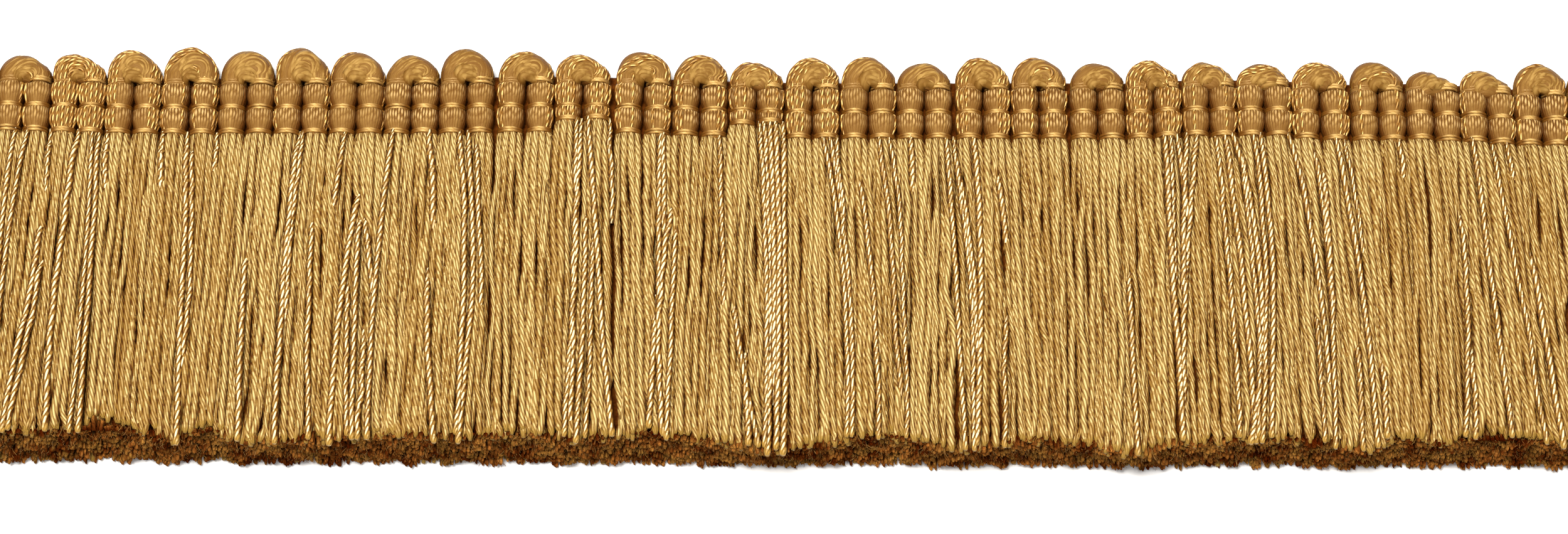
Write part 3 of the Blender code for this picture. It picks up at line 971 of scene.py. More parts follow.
@dataclass
class Skirt:
    """The cut skirt: face yarns, lustrous strands, the yarns under them, the cut and its fluff.

    A slit pushes the yarns near it aside as far as clump_reach. scatter is how far single yarns end
    from the cut's line, and setback how far the face ends short of it. drift, stray, ripple and
    height_drift are how far a face yarn wanders sideways slowly, by its own amount and quickly, and
    up and down. room is how far a lustrous strand pushes the yarns beside it away, and how far
    they sink there. strand_drift is how far a strand wanders, strand_dive how deep it goes where it
    isn't on the face, and strand_slope the share of the length over which it comes up or goes down.
    The cut has its tufts in cut_rows rows of cut_columns. The stacks of end_rows yarns that close
    the skirt stand end_margin inside its ends.
    """

    plan: Plan
    matte: Yarn = Yarn(0.415 * MM, 7.3 * MM, Twist.LEFT, Outline.SIX_SIDED)
    tucked: Yarn = Yarn(0.345 * MM, 7.3 * MM, Twist.LEFT, Outline.FIVE_SIDED)
    bright: Yarn = Yarn(0.36 * MM, 5.2 * MM, Twist.RIGHT, Outline.SIX_SIDED)
    plain: Yarn = Yarn(0.44 * MM, 4.6 * MM, Twist.LEFT, Outline.FIVE_SIDED)
    brushed: Yarn = Yarn(0.22 * MM, 4.6 * MM, Twist.LEFT, Outline.HAIR)
    fibre: Yarn = Yarn(0.03 * MM, 4.0 * MM, Twist.LEFT, Outline.HAIR)
    yarns_per_column: int = 8
    face_rings: int = 66
    tucked_rings: int = 46
    plain_rings: int = 20
    strand_rings: tuple[tuple[float, float, int], ...] = ((0.0, 0.35, 30), (0.35, 0.65, 48), (0.65, 1.1, 80))
    clump_reach: float = 1.5 * MM
    scatter: float = 0.4 * MM
    setback: float = 1.0 * MM
    drift: float = 0.27 * MM
    stray: float = 0.1 * MM
    ripple: float = 0.16 * MM
    height_drift: float = 0.14 * MM
    room: tuple[float, float] = (0.26 * MM, 0.32 * MM)
    strand_drift: float = 0.12 * MM
    strand_dive: float = 0.84 * MM
    strand_slope: float = 0.06
    end_margin: float = 0.5 * MM
    end_rows: int = 7
    cut_rows: int = 17
    cut_columns: int = 470
    fibres: int = 5200
    rng: np.random.Generator = field(default_factory=lambda: np.random.default_rng(41))

    def part_clumps(self, x: Array, share: Array) -> tuple[Array, Array]:
        """How far the slits push each yarn aside, and how far it sinks beside them.

        A yarn is pushed away from a slit's middle line by half the slit's width, less the further
        off it lies, by a falling exponential. The slit opens and closes on smooth steps.

        Args:
            x: Places of the yarns, (yarns, places along).
            share: Shares of the length, (places along,).

        Returns:
            The sideways push and the sinking, both of the shape of x.
        """
        push, sink = np.zeros_like(x), np.zeros_like(x)
        for slit in SLITS:
            middle = (slit.opens + slit.closes) / 2
            span = slit.closes - slit.opens
            line = (slit.at + slit.lean * (share - middle) / span) * MM
            opened = hump(share, slit.opens, slit.closes, min(0.12, span / 3)) * slit.width * MM
            nearest = np.argmin(np.abs(share - middle))
            side = np.sign(x[:, nearest] - line[nearest])[:, None]
            off = np.abs(x - line)
            push += side * opened / 2 * np.exp(-off / self.clump_reach)
            sink += opened * 0.7 * np.exp(-off / (0.45 * MM))
        return push, sink

    def make_room(self, x: Array, share: Array) -> tuple[Array, Array]:
        """How far the lustrous strands push each yarn aside, and how far it sinks beside them.

        The push falls off on a bell curve 0.42 mm wide. A yarn keeps to the side that it is on at
        each place, and its shift is evened out within 0.25 mm of the strand's middle.

        Args:
            x: Places of the yarns, (yarns, places along).
            share: Shares of the length, (places along,).

        Returns:
            The sideways push and the sinking, both of the shape of x.
        """
        push, sink = np.zeros_like(x), np.zeros_like(x)
        for strand in STRANDS:
            line = bow(strand.root, strand.mid, strand.cut, share) * MM
            from_top = strand.surfaces - self.strand_slope / 2 if strand.surfaces else -1.0
            to_cut = strand.sinks + self.strand_slope / 2 if strand.sinks < 1.0 else 2.0
            shown = hump(share, from_top, to_cut, self.strand_slope)
            off = x - line
            near = shown * np.exp(-((off / (0.42 * MM)) ** 2))
            push += self.room[0] * np.clip(off / (0.25 * MM), -1, 1) * near
            sink += self.room[1] * near
        return push, sink

    def cut_line(self, x: Array, level: Array | float) -> Array:
        """The place of the cut along the fringe.

        The face, at level 1, follows the cut's waves fully and ends short by the setback. The yarns
        on the floor, at level 0, hardly follow them, and run out straighter to the right.

        Args:
            x: Places along the fringe.
            level: Heights in the skirt, from 0 at the floor to 1 at the face.

        Returns:
            How far up the cloth the cut is, of the shape of x.
        """
        level = np.asarray(level)
        waves = eased(CUT_WAVE, x) * (0.1 + 0.9 * level)
        foot = (0.55 * MM + 0.3 * MM * x / self.plan.right) * (1 - level)
        return self.plan.root - self.plan.drop - waves + foot + self.setback * level

    def own_cut(self, x: Array, level: Array | float) -> Array:
        """The cut's place for single yarns, each by chance a little off the line."""
        return self.cut_line(x, level) + self.rng.uniform(-1, 1, len(x)) * self.scatter

    def bundled(self, place: Array, share: Array) -> tuple[Array, Array]:
        """Where a bundle's yarns run before they spread into the flat face.

        Under the binding they stand close on a round bundle. It bulges in the first hundredths of
        the length, and has spread flat by about a ninth of it.

        Args:
            place: Places across the bundle, from -1 to 1.
            share: Shares of the length, (places along,).

        Returns:
            The offset across from the bundle's middle and the height of its surface.
        """
        gathered = 0.80 + 0.15 * smooth(share, 0.0, 0.018) + 0.05 * smooth(share, 0.018, 0.08)
        bulge = (0.92 + 0.5 * smooth(share, 0.0, 0.03)) * MM
        roundness = np.sqrt(1.0 - (0.9 * np.clip(place, -1, 1)) ** 2)[:, None]
        surface = self.plan.axis + bulge * roundness
        surface = surface + (self.plan.thickness(share) - surface) * smooth(share, 0.01, 0.11)
        return place[:, None] * self.plan.pitch / 2 * gathered, surface

    def hang(self, x: Array, share: Array, cut: Array, high: Array, lift: Array) -> Array:
        """Paths of yarns from the heading to the cut.

        Each runs straight down from its root to its cut, leans with its clump by the share to the
        power 1.2, and is pushed aside by the slits and the lustrous strands.

        Args:
            x: Where each yarn would run without its clump's lean, (yarns, places).
            share: Shares of the length, (places,).
            cut: Where each ends, (yarns,).
            high: Its height over the floor, (yarns, places).
            lift: How far its root sits over the others, (yarns,).

        Returns:
            The paths, (yarns, places, 3).
        """
        leaned = x + eased(LEAN_WAVE, x[:, 0])[:, None] * share**1.2
        push, sink = self.part_clumps(leaned, share)
        aside, under = self.make_room(leaned + push, share)
        start = self.plan.yarn_start(x[:, 0], lift)
        y = start[:, None] + (cut - start)[:, None] * share
        return np.stack([leaned + (push + aside), y, high - (sink + under)], axis=-1)

    def ends(self, share: Array, count: int) -> Array:
        """How near the cut each ring is, for yarns whose colour turns over the last of their length.

        Args:
            share: Shares of the length, (places,).
            count: How many yarns.

        Returns:
            How near it is, from 0 to 1 at the cut, (yarns, places).
        """
        reach = self.rng.uniform(0.4, 1.4, (count, 1)) * 0.024
        return smooth((share - 1.0) / reach + 1.0, 0.0, 1.0)

    def fray(self, path: Array, share: Array) -> Array:
        """Sends the last 2 mm of yarns astray: sideways by chance, and down over the lip of the cut.

        Args:
            path: The paths, (yarns, places, 3).
            share: Shares of the length, (places,).

        Returns:
            The changed paths.
        """
        near = smooth(share, 0.945, 1.0)
        path[:, :, 0] += self.rng.normal(0, 0.2, (len(path), 1)) * MM * near
        path[:, :, 2] -= np.abs(self.rng.normal(0.25, 0.25, (len(path), 1))) * MM * near
        return path

    def tips(self, share: Array, count: int, radius: float) -> Array:
        """The yarns' radius: drawn in under the binding, full below it, and rounded off at the cut.

        Args:
            share: Shares of the length, (places,).
            count: How many yarns.
            radius: The kind's radius, from which each strays by chance.

        Returns:
            The radius, (yarns, places).
        """
        drawn = 0.76 + 0.24 * smooth(share, 0.0, 0.05)
        flare = 1.0 + 0.06 * smooth(share, 0.955, 0.985)
        rounded = 1.0 - 0.55 * smooth(share, 0.982, 1.0)
        own = 1.0 + self.rng.normal(0, 0.09, (count, 1))
        return radius * own * (drawn * flare * rounded)

    def face_rows(self, on_top: bool) -> tuple[Array, Array]:
        """Where half of the face's yarns start: every second one of each column.

        Args:
            on_top: Whether they are the half that stays on top.

        Returns:
            The yarns' columns, and their places across them from -1 to 1.
        """
        number = np.arange(0 if on_top else 1, self.yarns_per_column, 2)
        place = (number + (0.75 if on_top else 0.3)) / self.yarns_per_column * 2 - 1
        return np.repeat(np.arange(self.plan.columns), len(number)), np.tile(place, self.plan.columns)

    def face_heights(self, surface: Array, yarn: Yarn, share: Array, on_top: bool) -> Array:
        """How high the face's yarns run.

        All stray up and down a little once they have left the bundle. Some of those on top dip
        under their neighbours for a while, and the tucked ones sink to stay under them.

        Args:
            surface: The height of the face's surface, (yarns, places).
            yarn: The kind of yarn.
            share: Shares of the length, (places,).
            on_top: Whether these are the yarns on top.

        Returns:
            The heights of the yarns' middle lines, (yarns, places).
        """
        rng, one_each = self.rng, (len(surface), 1)
        strays = wander(rng, len(surface), share, (1.0, 2.3, 4.1)) * self.height_drift
        strays = strays + rng.normal(0, 0.07, one_each) * MM
        high = surface - yarn.radius + strays * smooth(share, 0.02, 0.25)
        if on_top:
            dips = rng.uniform(0.15, 0.9, one_each)
            dipped = rng.random(one_each) < 0.3
            return high - dipped * 0.45 * MM * np.exp(-(((share - dips) / 0.12) ** 2))
        starts = rng.uniform(0.0, 0.28, one_each) + (rng.random(one_each) < 0.12) * 0.4
        return high - rng.uniform(0.1, 0.5, one_each) * MM * smooth(share - starts, 0.0, 0.16)

    def build_face(self) -> list[bpy.types.Object]:
        """The matte yarns of the face, in two halves, and those that tuck themselves under it.

        Every second yarn of a bundle stays on the face, and most of those between sink below it
        within the first half. Each bundle has its own shade. A yarn's painted shade is how far it lies
        under the face as a share of 0.6 mm, and below 0, which paints light, just under the binding.
        The tucked yarns are painted a little darker as well, as shade.

        Returns:
            The face's left and right halves, and the tucked yarns.
        """
        plan, rng = self.plan, self.rng
        shades = rng.normal(0, 0.15, plan.columns)
        halves = ((True, self.matte, self.face_rings), (False, self.tucked, self.tucked_rings))
        pieces = []
        for on_top, yarn, rings in halves:
            column, place = self.face_rows(on_top)
            count = len(column)
            share = np.linspace(0, 1, rings)
            share = share**1.2 * (1 - share) + (1 - (1 - share) ** 1.3) * share
            offset, surface = self.bundled(place, share)
            root = plan.column_x(column)
            high = self.face_heights(surface, yarn, share, on_top)
            settle = smooth(share, 0.02, 0.25)
            x = root[:, None] + offset
            strays = wander(rng, count, share, (1.0, 2.0, 3.5)) * self.drift
            x = x + (strays + rng.normal(0, 1, (count, 1)) * self.stray) * settle
            x = x + wander(rng, count, share, (5.0, 8.0, 11.0)) * self.ripple * settle
            cut = self.own_cut(root + place * plan.pitch / 2, 1.0 if on_top else 0.93)
            path = self.fray(self.hang(x, share, cut, high, plan.lift(column)), share)
            # Painted shade: the tucked yarns, which lie under the face, are a little darker.
            tint = 0.55 + 0.17 * rng.normal(size=count) + shades[column] - (0.0 if on_top else 0.1)
            radius = self.tips(share, count, yarn.radius)
            radius = radius * (1 + 0.14 * wander(rng, count, share, (3.0, 7.0, 10.0)))
            near = self.ends(share, count)
            # Painted shade for lying under the face, and painted light just under the binding.
            painted_shade = np.clip((surface - yarn.radius - path[:, :, 2]) / (0.6 * MM), -0.2, 1.0)
            painted_shade = painted_shade * (1 - near) - 0.6 * (1 - smooth(share, 0.03, 0.16))
            parts = {"skirt_face_left": root < 0, "skirt_face_right": root >= 0}
            if not on_top:
                parts = {"skirt_tucked_yarns": np.ones(count, dtype=bool)}
            for name, part in parts.items():
                own = (np.clip(tint, 0, 1)[part], near[part], painted_shade[part])
                piece = Piece(name, follow(path[part], radius[part], yarn, rng, *own))
                pieces.append(piece.build("matte", "skirt_yarn"))
        return pieces

    def build_strands(self) -> bpy.types.Object:
        """The lustrous strands of the table, in three lengths with as many rings as each needs.

        A strand runs through its three places on a parabola. It lies on the face from where it
        surfaces to where it sinks, and beyond them it lies between the face yarns, strand_dive deeper.

        Returns:
            The piece.
        """
        plan, rng, slope = self.plan, self.rng, self.strand_slope
        piece = Piece("skirt_lustrous_strands")
        for low, high, rings in self.strand_rings:
            rows = [row for row in STRANDS if low <= row.sinks - row.surfaces < high]
            count = len(rows)
            run = np.linspace(0, 1, rings)
            surfaces, sinks = rows_of(rows, "surfaces"), rows_of(rows, "sinks")
            start, stop = np.maximum(0.0, surfaces - slope), np.minimum(1.0, sinks + slope)
            share = start + (stop - start) * run
            root, mid, cut = (rows_of(rows, name) * MM for name in ("root", "mid", "cut"))
            x = bow(root, mid, cut, share)
            x = x + wander(rng, count, run, (1.5, 3.0)) * self.strand_drift
            x = x + wander(rng, count, run, (7.0, 11.0)) * self.strand_drift
            rises = np.where(surfaces == 0.0, 1.0, np.clip((share - surfaces) / slope, 0, 1))
            out = rises * np.where(sinks == 1.0, 1.0, np.clip((sinks - share) / slope + 1, 0, 1))
            column = plan.nearest_column(root[:, 0])
            place = (root[:, 0] - plan.column_x(column)) / (plan.pitch / 2) / 0.86
            surface = np.concatenate([self.bundled(place[k : k + 1], share[k])[1] for k in range(count)])
            proud = rng.normal(0.02, 0.07, (count, 1)) + 0.2 * wander(rng, count, run, (4.0, 7.0, 12.0))
            z = surface - 0.09 * MM - self.strand_dive * (1 - out) + proud * MM
            tip = self.cut_line(cut, 1.0) - rng.uniform(-0.2, 0.9, (count, 1)) * MM
            base = plan.yarn_start(root[:, 0], plan.lift(column))[:, None]
            path = np.stack([x, base + (tip - base) * share, z], axis=-1)
            radius = self.bright.radius * (1 + rng.normal(0, 0.08, (count, 1)))
            radius = radius * (1 + 0.2 * wander(rng, count, run, (5.0, 9.0, 13.0)))
            radius = radius * (1 - 0.4 * smooth(share, 0.992, 1.0)) * (0.72 + 0.28 * smooth(share, 0, 0.08))
            shine, near = rows_of(rows, "shine")[:, 0], smooth(share, 0.975, 1.0) * 0.6
            piece.rings.append(follow(path, radius, self.bright, rng, shine, near))
        return piece.build("bright", "bright_yarn")

    def build_back(self) -> bpy.types.Object:
        """The yarns that lie on the floor, and a stack of yarns that closes each end of the skirt.

        Returns:
            The piece.
        """
        plan, rng = self.plan, self.rng
        share = np.linspace(0, 1, self.plain_rings)
        root = np.arange(plan.left + 0.55 * MM, plan.right - 0.5 * MM, 0.84 * MM)
        count = len(root)
        high = 0.46 * MM + wander(rng, count, share, (1.0, 2.0)) * 0.05 * MM
        high = np.maximum(high, 1.02 * self.plain.radius)
        cut = self.own_cut(root, 0.0) + 0.3 * MM
        path = self.hang(np.repeat(root[:, None], len(share), axis=1), share, cut, high, np.zeros(count))
        path[:, :, 1] = np.minimum(path[:, :, 1], plan.root + 0.1 * MM)
        path[:, :, 2] = np.maximum(path[:, :, 2], self.plain.radius)
        tint = np.clip(0.5 + 0.2 * rng.normal(size=count), 0, 1)
        radius = self.tips(share, count, self.plain.radius)
        floor = follow(path, radius, self.plain, rng, tint, self.ends(share, count))
        left, right = plan.left + self.end_margin, plan.right - self.end_margin
        piece = Piece("skirt_back_yarns", floor, self.stack_end(left), self.stack_end(right))
        return piece.build("matte", "skirt_yarn")

    def stack_end(self, x: float) -> Rings:
        """A stack of yarns one over another, which closes an end of the skirt.

        Args:
            x: Where it stands along the fringe.

        Returns:
            The stack's rings.
        """
        rows = self.end_rows
        share = np.linspace(0, 1, self.tucked_rings)
        level = (np.arange(rows) + 0.8) / (rows + 0.6)
        high = 0.5 * MM + level[:, None] * (self.plan.thickness(share) - 1.0 * MM)
        root = np.full(rows, x) + self.rng.uniform(-0.1, 0.1, rows) * MM
        cut = self.own_cut(root, level)
        y = self.plan.root + (cut - self.plan.root)[:, None] * share
        path = np.stack([np.broadcast_to(root[:, None], y.shape), y, high], axis=-1)
        tint = self.rng.uniform(0.3, 0.8, rows)
        radius = self.tips(share, rows, 0.42 * MM)
        return follow(path, radius, self.matte, self.rng, tint, self.ends(share, rows))

    def build_core(self) -> bpy.types.Object:
        """The mass of yarn inside the skirt: a closed block, painted dark as shade.

        Its top lies a little under the face and its underside a little over the floor.

        Returns:
            The piece.
        """
        plan = self.plan
        share = np.linspace(0.01, 0.945, 24)
        wide = np.linspace(plan.left + 0.9 * MM, plan.right - 0.9 * MM, 60)
        top = np.maximum(plan.thickness(share) - 1.45 * MM, 1.0 * MM)[:, None] + np.zeros(len(wide))
        y = plan.root + (self.cut_line(np.zeros(1), 0.0) - plan.root) * share
        across, down = np.broadcast_to(wide, top.shape), np.broadcast_to(y[:, None], top.shape)
        upper = np.stack([across, down, top], axis=-1)
        lower = np.stack([across, down, np.full_like(top, 0.75 * MM)], axis=-1)[:, ::-6]
        rings = Rings.plain(np.concatenate([upper, lower], axis=1))
        return Piece("skirt_core", rings).build("shade", "skirt_yarn")

    def lumps(self, x: Array, z: Array) -> Array:
        """How far the cut stands back at each place of it, in soft lumps.

        It is a sum of sines of waves from 1.2 to 4 mm long that cross the cut every way.

        Args:
            x: Places along the fringe.
            z: Heights over the floor.

        Returns:
            The shift, of the shape of x.
        """
        rng = np.random.default_rng(5)
        total = np.zeros_like(x)
        for length in np.linspace(1.2, 4.0, 12) * MM:
            turn, phase = rng.uniform(0, 2 * np.pi, 2)
            total += 0.07 * MM * np.sin(2 * np.pi * (x * np.cos(turn) + z * np.sin(turn)) / length + phase)
        return total

    def build_cut(self) -> bpy.types.Object:
        """The brushed-out ends that fill the skirt's thickness at the cut, as short tufts in rows.

        Each starts inside the skirt, 3.6 mm back from the cut or 1.6 mm near the face, and ends in a
        blunt point.

        Returns:
            The piece.
        """
        plan, rng = self.plan, self.rng
        count = self.cut_rows * self.cut_columns
        row = np.repeat(np.arange(self.cut_rows), self.cut_columns)
        wide = np.linspace(plan.left + 0.6 * MM, plan.right - 0.6 * MM, self.cut_columns)
        x = np.tile(wide, self.cut_rows) + rng.uniform(-0.3, 0.3, count) * MM
        x = np.clip(x, plan.left + 0.35 * MM, plan.right - 0.35 * MM)
        level = (row + 0.5 + rng.uniform(-0.4, 0.4, count)) / self.cut_rows
        z = 0.35 * MM + level * (plan.cut_thickness - 0.95 * MM)
        tip = self.cut_line(x, level) + self.lumps(x, z) - 0.15 * MM + rng.normal(0, 0.09, count) * MM
        share = np.array([0.0, 0.85, 0.95, 1.0])
        start = (plan.root - plan.drop + (3.6 - 2.0 * smooth(level, 0.7, 0.95)) * MM)[:, None]
        y = start + (tip[:, None] - start) * share
        lean = rng.normal(0, 0.16, (count, 1)) * MM * share
        rise = rng.normal(0, 0.14, (count, 1)) * MM * share**2
        path = np.stack([x[:, None] + lean, y, np.maximum(z[:, None] + rise, 0.3 * MM)], axis=-1)
        swell = np.array([0.9, 1.05, 0.95, 0.4]) * self.brushed.radius
        radius = swell * (1 + rng.normal(0, 0.15, (count, 1)))
        # Painted light: tufts are lighter towards the face, where light falls on the top of the cut.
        tint = rng.beta(1.4, 2.4, count) + 0.12 * level + 0.4 * smooth(level, 0.82, 1.0)
        near = np.broadcast_to(np.array([0.0, 0.5, 0.9, 1.0]), radius.shape)
        rings = follow(path, radius, self.brushed, rng, np.clip(tint, 0, 1), near)
        return Piece("skirt_cut_ends", rings).build("cut", "skirt_yarn")

    def build_fluff(self) -> bpy.types.Object:
        """Loose fibres that stand out of the cut.

        Each is a hair-thin tube that starts inside the cut and bends away on a parabola.

        Returns:
            The piece.
        """
        plan, rng, count = self.plan, self.rng, self.fibres
        x = rng.uniform(plan.left + 0.4 * MM, plan.right - 0.4 * MM, count)
        level = rng.beta(1.4, 1.15, count) * 0.96
        edge = self.cut_line(x, level)
        z = 0.3 * MM + level * (plan.cut_thickness - 0.6 * MM)
        share = np.linspace(0, 1, 4)
        reach = rng.gamma(3.0, 0.09, count) * (0.5 + 0.5 * level) * MM - self.lumps(x, z)
        bend = rng.normal(0, 0.35, (count, 2)) * MM
        y = edge[:, None] + 0.7 * MM - (0.7 * MM + reach)[:, None] * share
        across = x[:, None] + bend[:, :1] * share**2
        high = z[:, None] + bend[:, 1:] * share**2
        path = np.stack([across, y, np.maximum(high, 0.05 * MM)], axis=-1)
        radius = np.broadcast_to(self.fibre.radius * (1.2 - 0.7 * share), y.shape)
        rings = follow(path, radius, self.fibre, rng, rng.uniform(0, 1, count))
        return Piece("skirt_loose_fibres", rings).build("fluff", "skirt_yarn")

    def build(self) -> None:
        """All the skirt's pieces, which stand for its solid."""
        pieces = [*self.build_face(), self.build_strands(), self.build_back()]
        pieces += [self.build_core(), self.build_cut(), self.build_fluff()]
        for piece in pieces:
            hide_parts("skirt")


# Heading


@dataclass
class HeadingBand:
    """The heading: looped bundles, three binding threads across them and the woven back.

    bundle_angles are the corners of a bundle's outline and matte_cords the places of its matte
    cords, in degrees from its crown. bead and the necks are its half-widths where it is full and
    where it is bound, and neck_height is its half-height there. The top binding is looser on a
    loop's left leg than on its right one. arch is a bundle's half-width where the arch springs, and
    crown at its top. A loop's legs run on straight over the top binding by the share straight of
    its rise less the crown. skew lifts the left half of an arch over its right one, and slant is
    the most degrees that its yarns lie further in on the left and out on the right. thread_spacing
    is how far apart the threads of a binding lie.
    """

    plan: Plan
    cord: Yarn = Yarn(0.36 * MM, 3.4 * MM, Twist.LEFT, Outline.FIVE_SIDED)
    bright: Yarn = Yarn(0.2 * MM, 2.9 * MM, Twist.RIGHT, Outline.SIX_SIDED)
    thread: Yarn = Yarn(0.18 * MM, 1.6 * MM, Twist.RIGHT, Outline.FIVE_SIDED)
    inner: Yarn = Yarn(0.52 * MM, 3.6 * MM, Twist.LEFT, Outline.SIX_SIDED)
    inner_strands: int = 5
    inner_rings: int = 18
    bundle_angles: tuple[float, ...] = (*range(-105, 106, 15), 140, 180, 220)
    matte_cords: tuple[float, ...] = (-64, -42, -20, 2, 24, 46, 68, 90)
    bead: float = 1.46 * MM
    neck: float = 1.17 * MM
    left_top_neck: float = 1.25 * MM
    right_top_neck: float = 1.0 * MM
    neck_height: float = 1.08 * MM
    arch: float = 1.34 * MM
    crown: float = 1.5 * MM
    straight: float = 0.4
    skew: float = 0.2 * MM
    slant: float = 30.0
    arch_rings: int = 24
    thread_spacing: float = 0.27 * MM
    rng: np.random.Generator = field(default_factory=lambda: np.random.default_rng(7))

    def __post_init__(self) -> None:
        """Takes the loops' sizes out of the table, upright, as (loops, 1)."""
        self.rise, self.lean = rows_of(LOOPS, "rise") * MM, rows_of(LOOPS, "lean") * MM
        self.roll = rows_of(LOOPS, "roll")
        self.spring = self.straight * (self.rise - self.crown)

    def levels(self, column: Array) -> tuple[Array, Array, Array]:
        """How far up the cloth columns' three bindings are.

        Args:
            column: Numbers of columns.

        Returns:
            The places of the lowest, the middle and the top one, each of the shape of column.
        """
        plan = self.plan
        bottom = plan.root + plan.bottom_up + eased(HEADING_WAVE, plan.column_x(column))
        middle = bottom + plan.binding_pitch
        return bottom + plan.lift(column), middle, middle + plan.binding_pitch

    def column_line(self, column: Array, top_neck: float) -> tuple[Array, Array]:
        """Columns' places along the cloth from the foot up to where the arch springs, and their girth.

        Up from a binding the girth swells from the neck's to the bead's over the lower half of the
        bead, and is drawn in again over its last fifth. A bead that is drawn in short swells less.

        Args:
            column: Which columns, (columns,).
            top_neck: Their half-width at the top binding.

        Returns:
            Places and half-widths, (columns, rings).
        """
        bottom, middle, top = (level[:, None] for level in self.levels(column))
        share = np.array([[0.0, 0.08, 0.18, 0.3, 0.45, 0.66, 0.83, 0.90, 0.95, 1.0]])
        swell = smooth(share, 0.04, 0.45) * (1 - smooth(share, 0.83, 0.97))
        full = np.clip((middle - bottom) / self.plan.binding_pitch * 1.25, 0.3, 1.0)
        grown = self.bead - self.neck
        low_girth = self.neck + grown * full * swell
        high_girth = self.neck + grown * swell + (top_neck - self.neck) * smooth(share, 0.83, 0.97)
        rise = np.array([[0.33, 0.67, 1.0]]) * self.spring
        places = [bottom - 0.7 * MM, bottom - 0.3 * MM, bottom + (middle - bottom) * share]
        places += [middle + (top - middle) * share[:, 1:], top + rise]
        foot = np.full_like(bottom, self.neck)
        girths = [foot * 0.8, foot * 0.9, low_girth, np.repeat(high_girth[:, 1:], len(column), 0)]
        girths += [self.over_top(rise, top_neck)]
        return np.concatenate(places, axis=1), np.concatenate(girths, axis=1)

    def over_top(self, rise: Array, top_neck: Array | float) -> Array:
        """The half-width so far over the top binding: it grows to the arch's within 0.6 mm."""
        return top_neck + (self.arch - top_neck) * smooth(rise, 0.0, 0.6 * MM)

    def middle_line(self) -> tuple[Array, Array, Array]:
        """The loops' middle lines, up one column, over and down the next.

        The arch is half an ellipse, a little narrower towards its top, and leaned by a sine so that
        its feet stay over the columns. A sine of twice the turn lifts its left half over its right.
        Its half-width wanders by a few hundredths.

        Returns:
            Points of the lines (loops, rings, 2), the bundle's half-width (loops, rings), and how far
            over the arch each ring is, 0 in the columns and 1 at the top (loops, rings).
        """
        loop = np.arange(len(LOOPS))
        x_left, x_right = (self.plan.column_x(2 * loop + leg)[:, None] for leg in (0, 1))
        y_left, girth_left = self.column_line(2 * loop, self.left_top_neck)
        y_right, girth_right = self.column_line(2 * loop + 1, self.right_top_neck)
        turn = np.linspace(np.pi, 0, self.arch_rings + 2)[None, 1:-1]
        over = np.sin(turn)
        height = (self.rise - self.crown - self.spring) * over**0.85 - self.skew * np.sin(2 * turn)
        reach = (x_right - x_left) / 2 * (1 - 0.07 * over)
        x_arch = (x_right + x_left) / 2 + reach * np.cos(turn) + self.lean * over
        side = (1 + np.cos(turn)) / 2
        top_neck = self.left_top_neck + (self.right_top_neck - self.left_top_neck) * side
        girth_arch = self.over_top(height + self.spring, top_neck) + (self.crown - self.arch) * over**2
        run = np.linspace(0, 1, self.arch_rings)
        lumpy = wander(np.random.default_rng(19), len(loop), run, (1.5, 2.5, 4.0))
        girth_arch = girth_arch * (1 + 0.05 * lumpy * over)
        rings = y_left.shape[1]
        x = np.concatenate([np.repeat(x_left, rings, 1), x_arch, np.repeat(x_right, rings, 1)], axis=1)
        y = np.concatenate([y_left, y_left[:, -1:] + height, y_right[:, ::-1]], axis=1)
        girth = np.concatenate([girth_left, girth_arch, girth_right[:, ::-1]], axis=1)
        flat = np.zeros((len(loop), rings))
        return np.stack([x, y], axis=-1), girth, np.concatenate([flat, over + 0 * height, flat], axis=1)

    def on_bundle(self, angle: Array, inset: float, chosen: Array) -> Array:
        """Points on the bundles at places round them.

        A point lies off the middle line outwards by the half-width times the sine of its angle, and
        upwards by the half-height times the cosine raised to a power. The power is 1 at a neck, 0.6
        where the bundle is full, and less still on the inner side of the arch, which closes the loop
        to a mound. The half-height grows from a neck's by 1.1 times what the half-width grows by.

        Args:
            angle: Degrees from the crown, positive towards the outside of the loop, (lines, rings, n).
            inset: How far inside the surface the points lie.
            chosen: Which loop each line follows, (lines,).

        Returns:
            The points, (lines, rings, n, 3).
        """
        line, girth, over = (part[chosen] for part in self.middle_line())
        way = np.gradient(line, axis=1)
        way /= np.linalg.norm(way, axis=2, keepdims=True)
        outward = np.stack([-way[..., 1], way[..., 0]], axis=-1)
        sine, cosine = np.sin(np.radians(angle)), np.cos(np.radians(angle))
        full = np.clip((girth - self.neck) / (self.bead - self.neck), 0, 1)[..., None]
        power = 1 - 0.4 * full - 0.3 * smooth(-sine, 0.0, 0.7) * over[..., None]
        rounded = np.sign(cosine) * np.abs(cosine) ** power
        half_height = (self.neck_height + 1.1 * (girth - self.neck) - inset)[..., None]
        high = self.plan.axis + 0.10 * MM * over[..., None] + half_height * rounded
        flat = line[:, :, None] + outward[:, :, None] * ((girth - inset)[..., None] * sine)[..., None]
        return np.concatenate([flat, high[..., None]], axis=-1)

    def rolled(self, over: Array) -> Array:
        """Degrees that the yarns of a bundle lie further out than their places at its foot.

        They roll over at the top of the loop, and lie aslant on either half of the arch.

        Args:
            over: How far over the arch each ring is, (loops, rings).

        Returns:
            The degrees, (loops, rings).
        """
        side = np.sign(np.arange(over.shape[1]) - (over.shape[1] - 1) / 2)
        slanted = 2 * self.slant * over * np.sqrt(np.clip(1 - over**2, 0, 1)) * side
        return self.roll * over + slanted

